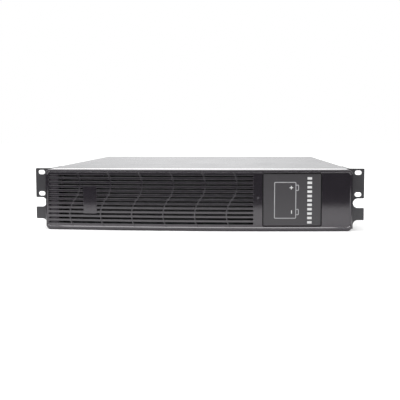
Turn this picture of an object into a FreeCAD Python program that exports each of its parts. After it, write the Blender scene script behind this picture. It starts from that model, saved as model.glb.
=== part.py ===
"""External battery pack for a rack or tower power supply, two rack units high.

A folded steel case with a moulded front bezel and two rack ears holds two sliding trays of
sealed battery blocks, their leads, a fuse board and two direct-current sockets.
Millimetres; +Z up, the bezel looks along -Y, +X to its right; the origin is the middle of the
underside of the whole pack.
"""
import FreeCAD, Part
import math
import os
import re
import Sketcher

Vector = FreeCAD.Vector
Rotation = FreeCAD.Rotation

# Driving sizes: name, value, meaning
SIZES = (
    ("case_width", 438.0, "steel case, side to side"),
    ("case_height", 88.0, "steel case, underside to top"),
    ("case_depth", 422.0, "steel case, front edge to back panel"),
    ("sheet_gauge", 1.2, "steel sheet of the case"),
    ("bend_inside", 0.6, "inside radius of the folds"),
    ("seam_gap", 0.3, "seam between the cover and the case walls"),
    ("lip_width", 12.0, "front lips of the case, folded inwards"),
    ("back_flange", 14.0, "back flanges of the case, folded inwards"),
    ("cover_flange", 16.0, "cover flanges, folded down inside the walls"),
    ("cover_lip", 8.0, "front lip of the cover, folded down"),
    ("rear_reach", 9.0, "how far the sockets stand behind the back panel"),
    ("cut_margin", 2.0, "how far a cutting shape runs past the face it cuts"),
    ("bezel_width", 441.5, "bezel, side to side"),
    ("bezel_height", 88.0, "bezel, bottom to top"),
    ("bezel_depth", 30.0, "bezel crown in front of the case"),
    ("bezel_corner", 7.0, "corner radius of the bezel seen from the front"),
    ("crown_radius", 2810.0, "radius of the bowed front, seen from above"),
    ("edge_round", 1.8, "rounded front edge of the bezel"),
    ("rim_width", 3.5, "raised rim at each end of the bezel face"),
    ("rim_top", 4.7, "raised rim above the bezel face"),
    ("rim_bottom", 6.0, "raised rim below the bezel face"),
    ("rim_chamfer", 1.5, "slanted inner edge of the rim"),
    ("face_recess", 1.6, "bezel face behind the rim"),
    ("bezel_wall", 2.5, "side walls of the bezel moulding"),
    ("front_wall", 3.0, "front wall of the bezel moulding"),
    ("slot_count", 12.0, "rows of air slots in the bezel"),
    ("slot_pitch", 6.1, "height from one slot row to the next"),
    ("slot_height", 3.0, "height of one air slot"),
    ("slot_length", 297.0, "length of one air slot"),
    ("slot_left", 4.2, "left edge of the bezel to the slot ends"),
    ("slot_bottom", 11.0, "bezel bottom to the middle of the lowest slot"),
    ("rib_count", 6.0, "curved ribs across the slots"),
    ("rib_pitch", 45.4, "one curved rib to the next"),
    ("rib_left", 40.6, "left edge of the bezel to the foot of the first rib"),
    ("rib_lean", 5.5, "head of a rib to the right of its foot"),
    ("rib_bow", 6.2, "sideways bulge of each half of a rib"),
    ("rib_gauge", 1.5, "thickness of a rib"),
    ("rib_rise", 0.4, "front edge of a rib in front of the bezel face"),
    ("rib_depth", 5.0, "back edge of a rib behind the bezel face"),
    ("blind_left", 6.3, "left edge of the bezel to the blind stretch of the slots"),
    ("blind_width", 12.0, "blind stretch of the slots, along the slots"),
    ("blind_depth", 1.6, "floor of the blind stretch behind the bezel face"),
    ("badge_width", 19.5, "blank badge pad among the slots, width"),
    ("badge_height", 38.0, "blank badge pad, height"),
    ("badge_left", 56.1, "left edge of the bezel to the badge pad"),
    ("badge_bottom", 23.8, "bezel bottom to the badge pad"),
    ("plate_width", 81.2, "pictogram plate, width"),
    ("plate_height", 73.5, "pictogram plate, height"),
    ("plate_left", 315.4, "left edge of the bezel to the plate"),
    ("plate_bottom", 8.1, "bezel bottom to the plate"),
    ("plate_corner", 0.8, "corner radius of the plate"),
    ("plate_gap", 1.5, "gap around the plate"),
    ("plate_gauge", 1.4, "thickness of the plate"),
    ("plate_inset", 0.5, "plate face behind the bezel face"),
    ("gasket_inset", 0.7, "gasket around the plate, behind the plate face"),
    ("lens_radius", 1.5, "indicator lens beside the plate, radius"),
    ("lens_left", 307.7, "left edge of the bezel to the middle of the lens"),
    ("lens_bottom", 47.6, "bezel bottom to the middle of the lens"),
    ("lens_rise", 0.3, "lens in front of the bezel face"),
    ("hook_count", 3.0, "snap hooks behind the top of the bezel, lugs behind its bottom"),
    ("hook_width", 14.0, "width of a hook or lug"),
    ("hook_gauge", 2.2, "thickness of a hook or lug"),
    ("hook_barb", 1.2, "catch of a hook behind the front lip of the cover"),
    ("hook_reach", 4.0, "hook or lug behind the front edge of the case"),
    ("rack_width", 482.6, "ear tip to ear tip, the rack panel width"),
    ("rack_span", 465.1, "left rack holes to right rack holes"),
    ("rack_first", 5.9, "underside of the case to the lowest rack hole line"),
    ("rack_pitch", 31.75, "first to third hole of one rack unit"),
    ("rack_step", 12.7, "third hole of a unit to the first of the next"),
    ("ear_height", 87.6, "rack ear, bottom to top"),
    ("ear_gauge", 2.0, "steel of the rack ears"),
    ("ear_reach", 62.0, "ear flange along the side of the case"),
    ("ear_slot_length", 10.0, "rack slot, along the width"),
    ("ear_slot_height", 6.6, "rack slot, height"),
    ("notch_width", 14.0, "open notch for a rack screw head"),
    ("tray_gauge", 1.0, "steel of the battery trays"),
    ("tray_wall", 30.0, "height of the tray walls"),
    ("tray_setback", 17.0, "tray front behind the front edge of the case"),
    ("tray_spacing", 12.0, "gap between the two trays"),
    ("battery_length", 151.0, "battery block, along the pack"),
    ("battery_height", 94.0, "battery block, across the pack, without tabs"),
    ("battery_width", 65.0, "battery block, upwards as it lies"),
    ("battery_gap", 0.5, "gap between blocks and tray walls"),
    ("lid_height", 14.0, "lid of a battery block"),
    ("lid_groove", 0.8, "groove between lid and case of a block"),
    ("channel_width", 17.0, "channel between the two rows of blocks"),
    ("tab_length", 6.0, "terminal tab, out of the block"),
    ("tab_width", 6.3, "terminal tab, width"),
    ("tab_gauge", 0.8, "terminal tab, thickness"),
    ("tab_inset", 13.0, "end of a block to its terminal tab"),
    ("wiring_height", 26.0, "height of tabs, leads and sockets"),
    ("sleeve_width", 8.5, "insulating sleeve on a tab, width"),
    ("sleeve_height", 4.6, "insulating sleeve on a tab, height"),
    ("sleeve_play", 0.2, "play between a tab and its sleeve"),
    ("lead_radius", 2.2, "radius of an insulated lead"),
    ("strap_width", 36.0, "hold-down strap, width"),
    ("strap_gauge", 1.2, "hold-down strap, thickness"),
    ("strap_leg", 52.0, "hold-down strap legs, height"),
    ("foam_gauge", 3.0, "foam between blocks and strap"),
    ("rail_width", 6.0, "guide rail between the trays, width"),
    ("rail_height", 16.0, "guide rail, height"),
    ("stop_height", 14.0, "stop angle behind the trays, height"),
    ("retainer_height", 70.0, "retaining plate in front of the trays, height"),
    ("retainer_lift", 6.0, "retaining plate above the case floor"),
    ("retainer_foot", 9.0, "feet of the retaining plate, behind the lips"),
    ("board_edge", 10.5, "fuse board beyond its outer terminal blocks"),
    ("board_depth", 44.0, "fuse board, along the pack"),
    ("board_gauge", 1.6, "fuse board, thickness"),
    ("board_back", 62.0, "middle of the fuse board in front of the back panel"),
    ("standoff_height", 9.0, "standoffs under the fuse board"),
    ("standoff_radius", 3.0, "standoffs under the fuse board"),
    ("block_depth", 12.0, "terminal block, along its ways"),
    ("block_edge", 4.5, "terminal block beyond the leads that enter it"),
    ("fuse_radius", 5.0, "fuse link, radius"),
    ("fuse_length", 26.0, "fuse link, length"),
    ("fuse_place", 26.0, "middle of a fuse link from the case middle"),
    ("clip_gauge", 4.0, "fuse clip, along the fuse"),
    ("socket_spacing", 84.0, "middle of one socket to the other"),
    ("socket_width", 46.0, "socket housing, width"),
    ("socket_height", 26.0, "socket housing, height"),
    ("socket_depth", 24.0, "socket housing, length inside the panel"),
    ("socket_corner", 4.0, "socket housing, corner radius"),
    ("flange_edge", 10.0, "socket flange beyond the housing at each end"),
    ("flange_gauge", 2.5, "socket flange, thickness"),
    ("way_width", 16.0, "cavity of one socket way, width"),
    ("way_height", 16.0, "cavity of one socket way, height"),
    ("way_wall", 3.0, "wall between the two ways"),
    ("contact_width", 10.0, "contact blade, width"),
    ("contact_gauge", 2.0, "contact blade, thickness"),
    ("contact_setback", 10.0, "contact tip behind the socket mouth"),
    ("contact_tail", 6.0, "contact tail out of the inner end of the socket"),
    ("socket_back", 8.0, "inner end wall of the socket"),
    ("fit_gap", 0.3, "gap around a piece that passes through a panel"),
    ("screw_radius", 1.5, "small screws, shank radius"),
    ("screw_head", 3.0, "small screws, corner radius of the head"),
    ("screw_crown", 1.8, "small screws, head height"),
    ("screw_length", 5.0, "small screws, shank length"),
    ("ear_screw_radius", 2.0, "ear screws, shank radius"),
    ("ear_screw_head", 4.0, "ear screws, head radius"),
    ("ear_screw_crown", 2.2, "ear screws, head height"),
    ("ear_screw_length", 6.0, "ear screws, shank length"),
    ("ear_corner", 1.2, "rounded outer corners of the ears"),
    ("stud_radius", 2.5, "ground stud, radius"),
    ("stud_length", 7.5, "ground stud behind the back panel"),
    ("nut_radius", 4.6, "ground nut, corner radius"),
    ("nut_height", 4.0, "ground nut, height"),
    ("stud_place", 192.0, "ground stud, right of the case middle"),
    ("vent_count", 6.0, "back panel vent slots in one field"),
    ("vent_pitch", 9.0, "back panel vent slots, pitch"),
    ("vent_length", 70.0, "back panel vent slot, length"),
    ("vent_height", 3.5, "back panel vent slot, height"),
    ("vent_place", 140.0, "middle of a vent field from the case middle"),
    ("vent_bottom", 20.0, "lowest vent slot above the underside"),
)

doc = FreeCAD.newDocument("battery_pack")
sheet = doc.addObject("Spreadsheet::Sheet", "Sizes")
for row, (alias, number, meaning) in enumerate(SIZES, start=1):
    sheet.set(f"A{row}", meaning)
    sheet.set(f"B{row}", str(number))
    sheet.setAlias(f"B{row}", alias)
doc.recompute()

ALIASES = {alias for alias, number, meaning in SIZES}
AXES = {
    "x": Rotation(Vector(0, 1, 0), 90),
    "-x": Rotation(Vector(0, 1, 0), -90),
    "y": Rotation(Vector(1, 0, 0), -90),
    "-y": Rotation(Vector(1, 0, 0), 90),
    "z": Rotation(),
    "-z": Rotation(Vector(1, 0, 0), 180),
}
subparts = []


# Expressions and numbers
def cells(text):
    """The expression with each size name turned into its cell of the sheet."""
    return re.sub(r"[a-z_]+", lambda word: f"Sizes.{word[0]}" if word[0] in ALIASES else word[0], text)


def size(text):
    """The number that an expression of sizes comes to."""
    return float(sheet.evalExpression(cells(text)))


def behind(text):
    """Y of a place that lies so far behind the front edge of the case."""
    return f"(bezel_depth - case_depth - rear_reach) / 2 + ({text})"


def bind(thing, names, texts):
    for name, text in zip(names, texts):
        thing.setExpression(name, cells(text))


def place(thing, base):
    bind(thing, ("Placement.Base.x", "Placement.Base.y", "Placement.Base.z"), base)


def subpart(label, thing):
    """Names a finished piece, which is then written out under that name."""
    thing.Label = label
    subparts.append(thing)
    return thing


# Primitives and booleans
def box(name, base, spans):
    block = doc.addObject("Part::Box", name)
    bind(block, ("Length", "Width", "Height"), spans)
    place(block, base)
    return block


def cylinder(name, base, axis, radius, length):
    rod = doc.addObject("Part::Cylinder", name)
    rod.Placement.Rotation = AXES[axis]
    bind(rod, ("Radius", "Height"), (radius, length))
    place(rod, base)
    return rod


def hexagon(name, base, axis, radius, length):
    prism = doc.addObject("Part::Prism", name)
    prism.Polygon = 6
    prism.Placement.Rotation = AXES[axis]
    bind(prism, ("Circumradius", "Height"), (radius, length))
    place(prism, base)
    return prism


def cut(name, base, tool):
    result = doc.addObject("Part::Cut", name)
    result.Base = base
    result.Tool = tool
    return result


def common(name, base, tool):
    result = doc.addObject("Part::Common", name)
    result.Base = base
    result.Tool = tool
    return result


def fuse(name, shapes):
    result = doc.addObject("Part::MultiFuse", name)
    result.Shapes = shapes
    return result


def group(name, shapes):
    result = doc.addObject("Part::Compound", name)
    result.Links = shapes
    return result


# Sketch drawing
def dimension(sketch, kind, geometry, point, text):
    """Ties one coordinate of a point to an expression of sizes."""
    index = sketch.addConstraint(Sketcher.Constraint(kind, -1, 1, geometry, point, size(text)))
    sketch.setExpression(f"Constraints[{index}]", cells(text))


def set_point(sketch, geometry, point, x, y):
    dimension(sketch, "DistanceX", geometry, point, x)
    dimension(sketch, "DistanceY", geometry, point, y)


def set_radius(sketch, geometry, text):
    index = sketch.addConstraint(Sketcher.Constraint("Radius", geometry, size(text)))
    sketch.setExpression(f"Constraints[{index}]", cells(text))


def polygon(sketch, points):
    """A closed outline of straight runs; each point is two expressions."""
    first = sketch.GeometryCount
    corners = [Vector(size(x), size(y), 0) for x, y in points]
    for start, end in zip(corners, corners[1:] + corners[:1]):
        sketch.addGeometry(Part.LineSegment(start, end))
    for step, (x, y) in enumerate(points):
        before = first + (step - 1) % len(points)
        sketch.addConstraint(Sketcher.Constraint("Coincident", before, 2, first + step, 1))
        set_point(sketch, first + step, 1, x, y)


def rectangle(sketch, left, bottom, width, height):
    right = f"{left} + ({width})"
    top = f"{bottom} + ({height})"
    polygon(sketch, ((left, bottom), (right, bottom), (right, top), (left, top)))


def circle(sketch, x, y, radius):
    ring = Part.Circle(Vector(size(x), size(y), 0), Vector(0, 0, 1), size(radius))
    geometry = sketch.addGeometry(ring)
    set_point(sketch, geometry, 3, x, y)
    set_radius(sketch, geometry, radius)


def arc(centre, radius, start, end):
    """An arc between two angles in degrees, counter-clockwise."""
    ring = Part.Circle(centre, Vector(0, 0, 1), radius)
    return Part.ArcOfCircle(ring, math.radians(start), math.radians(end))


def stadium(sketch, left, right, y, height):
    """A slot with round ends whose end centres are at left and right."""
    radius = size(height) / 2
    near = Vector(size(left), size(y), 0)
    far = Vector(size(right), size(y), 0)
    up = Vector(0, radius, 0)
    first = sketch.GeometryCount
    sketch.addGeometry(arc(near, radius, 90, 270))
    sketch.addGeometry(Part.LineSegment(near - up, far - up))
    sketch.addGeometry(arc(far, radius, 270, 450))
    sketch.addGeometry(Part.LineSegment(far + up, near + up))
    for step in range(4):
        following = first + (step + 1) % 4
        sketch.addConstraint(Sketcher.Constraint("Tangent", first + step, 2, following, 1))
    sketch.addConstraint(Sketcher.Constraint("Equal", first, first + 2))
    sketch.addConstraint(Sketcher.Constraint("Horizontal", first + 1))
    set_point(sketch, first, 3, left, y)
    dimension(sketch, "DistanceX", first + 2, 3, right)
    set_radius(sketch, first, f"({height}) / 2")


def rounded_rectangle(sketch, left, bottom, width, height, corner):
    """A rectangle with four equal round corners."""
    radius = size(corner)
    x_low = size(left) + radius
    x_high = size(left) + size(width) - radius
    y_low = size(bottom) + radius
    y_high = size(bottom) + size(height) - radius
    places = ((x_low, y_low), (x_high, y_low), (x_high, y_high), (x_low, y_high))
    centres = [Vector(x, y, 0) for x, y in places]
    outwards = [Vector(x, y, 0) * radius for x, y in ((0, -1), (1, 0), (0, 1), (-1, 0))]
    first = sketch.GeometryCount
    for turn, (centre, out) in enumerate(zip(centres, outwards)):
        angle = 180 + 90 * turn
        sketch.addGeometry(arc(centre, radius, angle, angle + 90))
        sketch.addGeometry(Part.LineSegment(centre + out, centres[(turn + 1) % 4] + out))
    for step in range(8):
        following = first + (step + 1) % 8
        sketch.addConstraint(Sketcher.Constraint("Tangent", first + step, 2, following, 1))
    for step in (2, 4, 6):
        sketch.addConstraint(Sketcher.Constraint("Equal", first, first + step))
    for step, kind in ((1, "Horizontal"), (3, "Vertical"), (5, "Horizontal"), (7, "Vertical")):
        sketch.addConstraint(Sketcher.Constraint(kind, first + step))
    set_point(sketch, first, 3, f"{left} + ({corner})", f"{bottom} + ({corner})")
    set_point(sketch, first + 4, 3, f"{left} + ({width}) - ({corner})", f"{bottom} + ({height}) - ({corner})")
    set_radius(sketch, first, corner)


# Part Design bodies, drawn from the front edge of the case
def new_body(label):
    body = doc.addObject("PartDesign::Body", label)
    body.setExpression("Placement.Base.y", cells(behind("0")))
    return subpart(label, body)


def body_sketch(body, name, role, offset="0"):
    """A sketch on one of the body's own planes, moved along the plane's normal."""
    sketch = body.newObject("Sketcher::SketchObject", name)
    plane = next(plane for plane in body.Origin.OriginFeatures if plane.Role == role)
    sketch.AttachmentSupport = (plane, "")
    sketch.MapMode = "FlatFace"
    sketch.setExpression("AttachmentOffset.Base.z", cells(offset))
    return sketch


def pad(body, sketch, length, backwards=False):
    feature = body.newObject("PartDesign::Pad", f"{sketch.Name}_pad")
    feature.Profile = sketch
    feature.Reversed = backwards
    feature.setExpression("Length", cells(length))
    return feature


def pocket(body, sketch, length=None):
    """Cuts the sketch into the body for a length, or right through it both ways."""
    feature = body.newObject("PartDesign::Pocket", f"{sketch.Name}_pocket")
    feature.Profile = sketch
    if length is None:
        feature.Type = "ThroughAll"
        feature.Midplane = True
    else:
        feature.setExpression("Length", cells(length))
    return feature


def fold(body, places, radius):
    """Rounds the edges that pass through the given places of the body."""
    doc.recompute()
    base = body.Tip
    spots = [Part.Vertex(size(x), size(y), size(z)) for x, y, z in places]
    names = []
    for number, edge in enumerate(base.Shape.Edges, start=1):
        if any(edge.distToShape(spot)[0] < 0.001 for spot in spots):
            names.append(f"Edge{number}")
    feature = body.newObject("PartDesign::Fillet", f"{body.Name}_fold")
    feature.Base = (base, names)
    feature.setExpression("Radius", cells(radius))
    return feature


# Places that several pieces share
INNER_HALF = "(case_width / 2 - sheet_gauge)"
WALL_TOP = "(case_height - sheet_gauge - seam_gap)"
COVER_UNDER = "(case_height - sheet_gauge)"
PANEL_FRONT = "(case_depth - sheet_gauge)"
EAR_BOTTOM = "(case_height - ear_height)"
TRAY_INNER = "(2 * battery_height + channel_width + 2 * battery_gap)"
TRAY_WIDTH = f"({TRAY_INNER} + 2 * tray_gauge)"
TRAY_MIDDLE = f"((tray_spacing + {TRAY_WIDTH}) / 2)"
TRAY_LENGTH = "(2 * battery_length + 3 * battery_gap + 2 * tray_gauge)"
TRAY_FLOOR = "(sheet_gauge + tray_gauge)"
TRAY_TOP = "(sheet_gauge + tray_wall)"
FRONT_BLOCK = "(tray_setback + tray_gauge + battery_gap + battery_length / 2)"
REAR_BLOCK = f"({FRONT_BLOCK} + battery_length + battery_gap)"
BLOCK_TOP = f"({TRAY_FLOOR} + battery_width)"
JOINT_LINE = f"(({FRONT_BLOCK} + {REAR_BLOCK}) / 2)"
STRAP_TOP = f"({BLOCK_TOP} + foam_gauge + strap_gauge)"
STRAP_SCREW = f"({TRAY_TOP} - 2 * screw_head)"
BOARD_MIDDLE = "(case_depth - board_back)"
BOARD_TOP = "(sheet_gauge + standoff_height + board_gauge)"
SLEEVE_LENGTH = "(tab_length + 3 * sleeve_play)"
BLOCK_WIDTH = f"(channel_width - {SLEEVE_LENGTH} + 2 * block_edge)"
BOARD_HALF = f"({TRAY_MIDDLE} + {BLOCK_WIDTH} / 2 + board_edge)"
WAY_PITCH = "(way_width + way_wall)"
BEZEL_LEFT = "(0 - bezel_width / 2)"
EAR_SCREWS = [(y, z) for y in ("ear_reach * 0.3", "ear_reach * 0.8")
              for z in ("4 * ear_screw_head", f"{COVER_UNDER} - cover_flange - 2 * ear_screw_head")]
COVER_SCREWS = [f"case_depth * {share}" for share in (0.25, 0.6, 0.95)]
COVER_SCREW_HEIGHT = f"({COVER_UNDER} - cover_flange / 2)"
PANEL_SCREWS = [f"case_height * {share}" for share in (0.2, 0.5, 0.8)]
PANEL_SCREW_PLACE = "(case_width / 2 - sheet_gauge - back_flange / 2)"
RETAINER_HALF = "(case_width / 2 - lip_width - 2 * sheet_gauge)"
RETAINER_SCREW = f"({RETAINER_HALF} + 2 * sheet_gauge + (retainer_foot - 2 * sheet_gauge) / 2)"
RETAINER_SCREWS = [f"sheet_gauge + retainer_lift + retainer_height * {share}" for share in (0.15, 0.85)]
OPPOSITE = {"x": "-x", "-x": "x", "y": "-y", "-y": "y", "z": "-z", "-z": "z"}
SIDES = (("left", "-1"), ("right", "1"))


# Case of folded steel
def chassis_tray():
    body = new_body("chassis_tray")
    section = body_sketch(body, "case_section", "XZ_Plane")
    polygon(section, (
        ("-case_width / 2", "0"), ("case_width / 2", "0"), ("case_width / 2", WALL_TOP),
        (INNER_HALF, WALL_TOP), (INNER_HALF, "sheet_gauge"), (f"-{INNER_HALF}", "sheet_gauge"),
        (f"-{INNER_HALF}", WALL_TOP), ("-case_width / 2", WALL_TOP)))
    pad(body, section, PANEL_FRONT, backwards=True)
    lips = body_sketch(body, "case_lips", "XZ_Plane")
    flanges = body_sketch(body, "case_flanges", "XZ_Plane", f"sheet_gauge - {PANEL_FRONT}")
    for sketch, width in ((lips, "lip_width"), (flanges, "(sheet_gauge + back_flange)")):
        rectangle(sketch, "-case_width / 2", "0", width, WALL_TOP)
        rectangle(sketch, f"case_width / 2 - {width}", "0", width, WALL_TOP)
    pad(body, lips, "sheet_gauge", backwards=True)
    pad(body, flanges, "sheet_gauge", backwards=True)
    side_holes = body_sketch(body, "case_side_holes", "YZ_Plane")
    for y, z in EAR_SCREWS:
        circle(side_holes, y, z, "ear_screw_radius")
    for y in COVER_SCREWS:
        circle(side_holes, y, COVER_SCREW_HEIGHT, "screw_radius")
    pocket(body, side_holes)
    lip_holes = body_sketch(body, "case_lip_holes", "XZ_Plane")
    flange_holes = body_sketch(body, "case_flange_holes", "XZ_Plane", f"2 * sheet_gauge - {PANEL_FRONT}")
    for sign in ("-1", "1"):
        for z in RETAINER_SCREWS:
            circle(lip_holes, f"{sign} * {RETAINER_SCREW}", z, "screw_radius")
        for z in PANEL_SCREWS:
            circle(flange_holes, f"{sign} * {PANEL_SCREW_PLACE}", z, "screw_radius")
    pocket(body, lip_holes, "2 * sheet_gauge")
    pocket(body, flange_holes, "3 * sheet_gauge")
    middle = "case_depth / 2"
    inner = [(f"{sign} * {INNER_HALF}", middle, "sheet_gauge") for sign in ("-1", "1")]
    outer = [(f"{sign} * case_width / 2", middle, "0") for sign in ("-1", "1")]
    fold(body, inner, "bend_inside")
    fold(body, outer, "bend_inside + sheet_gauge")


def top_cover():
    body = new_body("top_cover")
    roof = body_sketch(body, "cover_roof", "XZ_Plane")
    rectangle(roof, "-case_width / 2", COVER_UNDER, "case_width", "sheet_gauge")
    pad(body, roof, "case_depth", backwards=True)
    lip = body_sketch(body, "cover_lip_sketch", "XZ_Plane")
    lip_half = "(case_width / 2 - lip_width - seam_gap)"
    rectangle(lip, f"-{lip_half}", f"{COVER_UNDER} - cover_lip", f"2 * {lip_half}", "cover_lip")
    pad(body, lip, "sheet_gauge", backwards=True)
    flanges = body_sketch(body, "cover_flanges", "XZ_Plane", "-(sheet_gauge + seam_gap)")
    face = f"({INNER_HALF} - seam_gap)"
    foot = f"{COVER_UNDER} - cover_flange"
    rectangle(flanges, f"-{face}", foot, "sheet_gauge", "cover_flange")
    rectangle(flanges, f"{face} - sheet_gauge", foot, "sheet_gauge", "cover_flange")
    pad(body, flanges, "case_depth - 3 * sheet_gauge - 2 * seam_gap", backwards=True)
    holes = body_sketch(body, "cover_holes", "YZ_Plane")
    for y in COVER_SCREWS:
        circle(holes, y, COVER_SCREW_HEIGHT, "screw_radius")
    pocket(body, holes)
    edges = [(f"{sign} * case_width / 2", "case_depth / 2", "case_height") for sign in ("-1", "1")]
    fold(body, edges, "bend_inside")


def rear_panel():
    body = new_body("rear_panel")
    plate = body_sketch(body, "panel_plate", "XZ_Plane", f"-{PANEL_FRONT}")
    rectangle(plate, "-case_width / 2", "0", "case_width", WALL_TOP)
    pad(body, plate, "sheet_gauge", backwards=True)
    openings = body_sketch(body, "panel_openings", "XZ_Plane", f"-{PANEL_FRONT}")
    for sign in ("-1", "1"):
        rounded_rectangle(
            openings, f"{sign} * socket_spacing / 2 - socket_width / 2 - fit_gap",
            "wiring_height - socket_height / 2 - fit_gap",
            "socket_width + 2 * fit_gap", "socket_height + 2 * fit_gap", "socket_corner + fit_gap")
        for hand in ("-1", "1"):
            socket_screw = f"{sign} * socket_spacing / 2 + {hand} * (socket_width + flange_edge) / 2"
            circle(openings, socket_screw, "wiring_height", "screw_radius")
        for z in PANEL_SCREWS:
            circle(openings, f"{sign} * {PANEL_SCREW_PLACE}", z, "screw_radius")
        half = "(vent_length - vent_height) / 2"
        for step in range(int(size("vent_count"))):
            stadium(openings, f"{sign} * vent_place - {half}", f"{sign} * vent_place + {half}",
                    f"vent_bottom + {step} * vent_pitch", "vent_height")
    circle(openings, "stud_place", "wiring_height", "stud_radius")
    pocket(body, openings)


def corner_notch(sketch, sign, line, outside, y, radius):
    """A notch open to the side and below, with one round corner about the point line, y."""
    first = sketch.GeometryCount
    inner = f"{line} - ({sign}) * ({radius})"
    top = f"{y} + ({radius})"
    corners = [Vector(size(x), size(z), 0) for x, z in (
        (line, top), (outside, top), (outside, "-cut_margin"), (inner, "-cut_margin"), (inner, y))]
    for start, end in zip(corners, corners[1:]):
        sketch.addGeometry(Part.LineSegment(start, end))
    turn = 90 if sign == "1" else 0
    sketch.addGeometry(arc(Vector(size(line), size(y), 0), size(radius), turn, turn + 90))
    for step in range(3):
        sketch.addConstraint(Sketcher.Constraint("Coincident", first + step, 2, first + step + 1, 1))
    far, near = (2, 1) if sign == "1" else (1, 2)
    sketch.addConstraint(Sketcher.Constraint("Tangent", first + 3, 2, first + 4, far))
    sketch.addConstraint(Sketcher.Constraint("Tangent", first, 1, first + 4, near))
    for step, kind in enumerate(("Horizontal", "Vertical", "Horizontal", "Vertical")):
        sketch.addConstraint(Sketcher.Constraint(kind, first + step))
    set_point(sketch, first + 4, 3, line, y)
    set_radius(sketch, first + 4, radius)
    dimension(sketch, "DistanceX", first, 2, outside)
    dimension(sketch, "DistanceY", first + 2, 1, "-cut_margin")


def rack_ear(side, sign):
    """An angle bracket whose front flange carries two rack slots and two open notches."""
    body = new_body(f"rack_ear_{side}")
    root = f"{sign} * case_width / 2"
    tip = f"{sign} * rack_width / 2"
    inner = f"{sign} * (case_width / 2 + ear_gauge)"
    front = body_sketch(body, f"ear_front_{side}", "XZ_Plane")
    polygon(front, ((root, EAR_BOTTOM), (tip, EAR_BOTTOM), (tip, "case_height"), (root, "case_height")))
    pad(body, front, "ear_gauge", backwards=True)
    flange = body_sketch(body, f"ear_flange_{side}", "XZ_Plane")
    polygon(flange, ((root, EAR_BOTTOM), (inner, EAR_BOTTOM), (inner, "case_height"), (root, "case_height")))
    pad(body, flange, "ear_reach", backwards=True)
    cuts = body_sketch(body, f"ear_cuts_{side}", "XZ_Plane")
    line = f"{sign} * rack_span / 2"
    half = "(ear_slot_length - ear_slot_height) / 2"
    third = "rack_first + rack_pitch"
    upper = f"{third} + rack_step"
    for z in (upper, f"{upper} + rack_pitch"):
        stadium(cuts, f"{line} - {half}", f"{line} + {half}", z, "ear_slot_height")
    outside = f"{sign} * (rack_width / 2 + notch_width)"
    ends = (line, outside) if sign == "1" else (outside, line)
    stadium(cuts, *ends, third, "notch_width")
    corner_notch(cuts, sign, line, outside, "rack_first", "notch_width / 2")
    pocket(body, cuts)
    holes = body_sketch(body, f"ear_holes_{side}", "YZ_Plane")
    for y, z in EAR_SCREWS:
        circle(holes, y, z, "ear_screw_radius")
    pocket(body, holes)
    corners = ("case_height", f"{third} + notch_width / 2", f"{third} - notch_width / 2",
               "rack_first + notch_width / 2")
    fold(body, [(tip, "ear_gauge / 2", z) for z in corners], "ear_corner")
    fold(body, [(inner, "ear_gauge", "case_height / 2")], "bend_inside")
    fold(body, [(root, "0", "case_height / 2")], "bend_inside + ear_gauge")


# Moulded bezel with a bowed, slotted face
def face_sketch(name, y):
    """A free sketch that looks along -Y at a place behind the front edge of the case."""
    sketch = doc.addObject("Sketcher::SketchObject", name)
    sketch.Placement.Rotation = Rotation(Vector(1, 0, 0), 90)
    sketch.setExpression("Placement.Base.y", cells(behind(y)))
    return sketch


def extrude(sketch, direction, length):
    prism = doc.addObject("Part::Extrusion", f"{sketch.Name}_prism")
    prism.Base = sketch
    prism.DirMode = "Custom"
    prism.Dir = direction
    prism.Solid = True
    prism.setExpression("LengthFwd", cells(length))
    return prism


def face_prism(name, corner, end="0", low="0", high="0"):
    """The bezel outline, drawn in on each side, from behind the case edge to past the crown."""
    sketch = face_sketch(f"{name}_outline", "cut_margin")
    rounded_rectangle(
        sketch, f"{BEZEL_LEFT} + {end}", low, f"bezel_width - 2 * {end}",
        f"bezel_height - {low} - {high}", corner)
    return extrude(sketch, Vector(0, -1, 0), "bezel_depth + 2 * cut_margin")


def patch_prism(name, left, bottom, width, height, corner):
    """A rounded patch of the bezel's front, placed from its lower left corner, run to past the crown."""
    sketch = face_sketch(f"{name}_outline", "0")
    rounded_rectangle(sketch, f"{BEZEL_LEFT} + {left}", bottom, width, height, corner)
    return extrude(sketch, Vector(0, -1, 0), "bezel_depth + cut_margin")


def behind_crown(name, setback, back="2 * cut_margin"):
    """Everything behind the bowed front moved back by a setback, up to a plane near the case."""
    sketch = doc.addObject("Sketcher::SketchObject", f"{name}_plan")
    half = "(bezel_width / 2 + cut_margin)"
    middle = behind("crown_radius - bezel_depth")
    radius = f"crown_radius - ({setback})"
    swing = math.degrees(math.asin(size(half) / size(radius)))
    sketch.addGeometry(arc(Vector(0, size(middle), 0), size(radius), 270 - swing, 270 + swing))
    corners = [Vector(sign * size(half), size(behind(back)), 0) for sign in (1, -1)]
    bow = sketch.Geometry[0]
    sketch.addGeometry(Part.LineSegment(bow.EndPoint, corners[0]))
    sketch.addGeometry(Part.LineSegment(corners[0], corners[1]))
    sketch.addGeometry(Part.LineSegment(corners[1], bow.StartPoint))
    for step in range(4):
        sketch.addConstraint(Sketcher.Constraint("Coincident", step, 2, (step + 1) % 4, 1))
    set_point(sketch, 0, 3, "0", middle)
    set_radius(sketch, 0, radius)
    set_point(sketch, 2, 1, half, behind(back))
    set_point(sketch, 2, 2, f"-{half}", behind(back))
    sketch.addConstraint(Sketcher.Constraint("Vertical", 1))
    sketch.addConstraint(Sketcher.Constraint("Vertical", 3))
    sketch.setExpression("Placement.Base.z", cells("-cut_margin"))
    return extrude(sketch, Vector(0, 0, 1), "bezel_height + 2 * cut_margin")


def crown_layer(name, prism, front, back):
    """The part of a prism that lies between two setbacks behind the bowed front."""
    shallow = common(f"{name}_front", prism, behind_crown(f"{name}_face", front))
    return cut(name, shallow, behind_crown(f"{name}_back", back))


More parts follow.
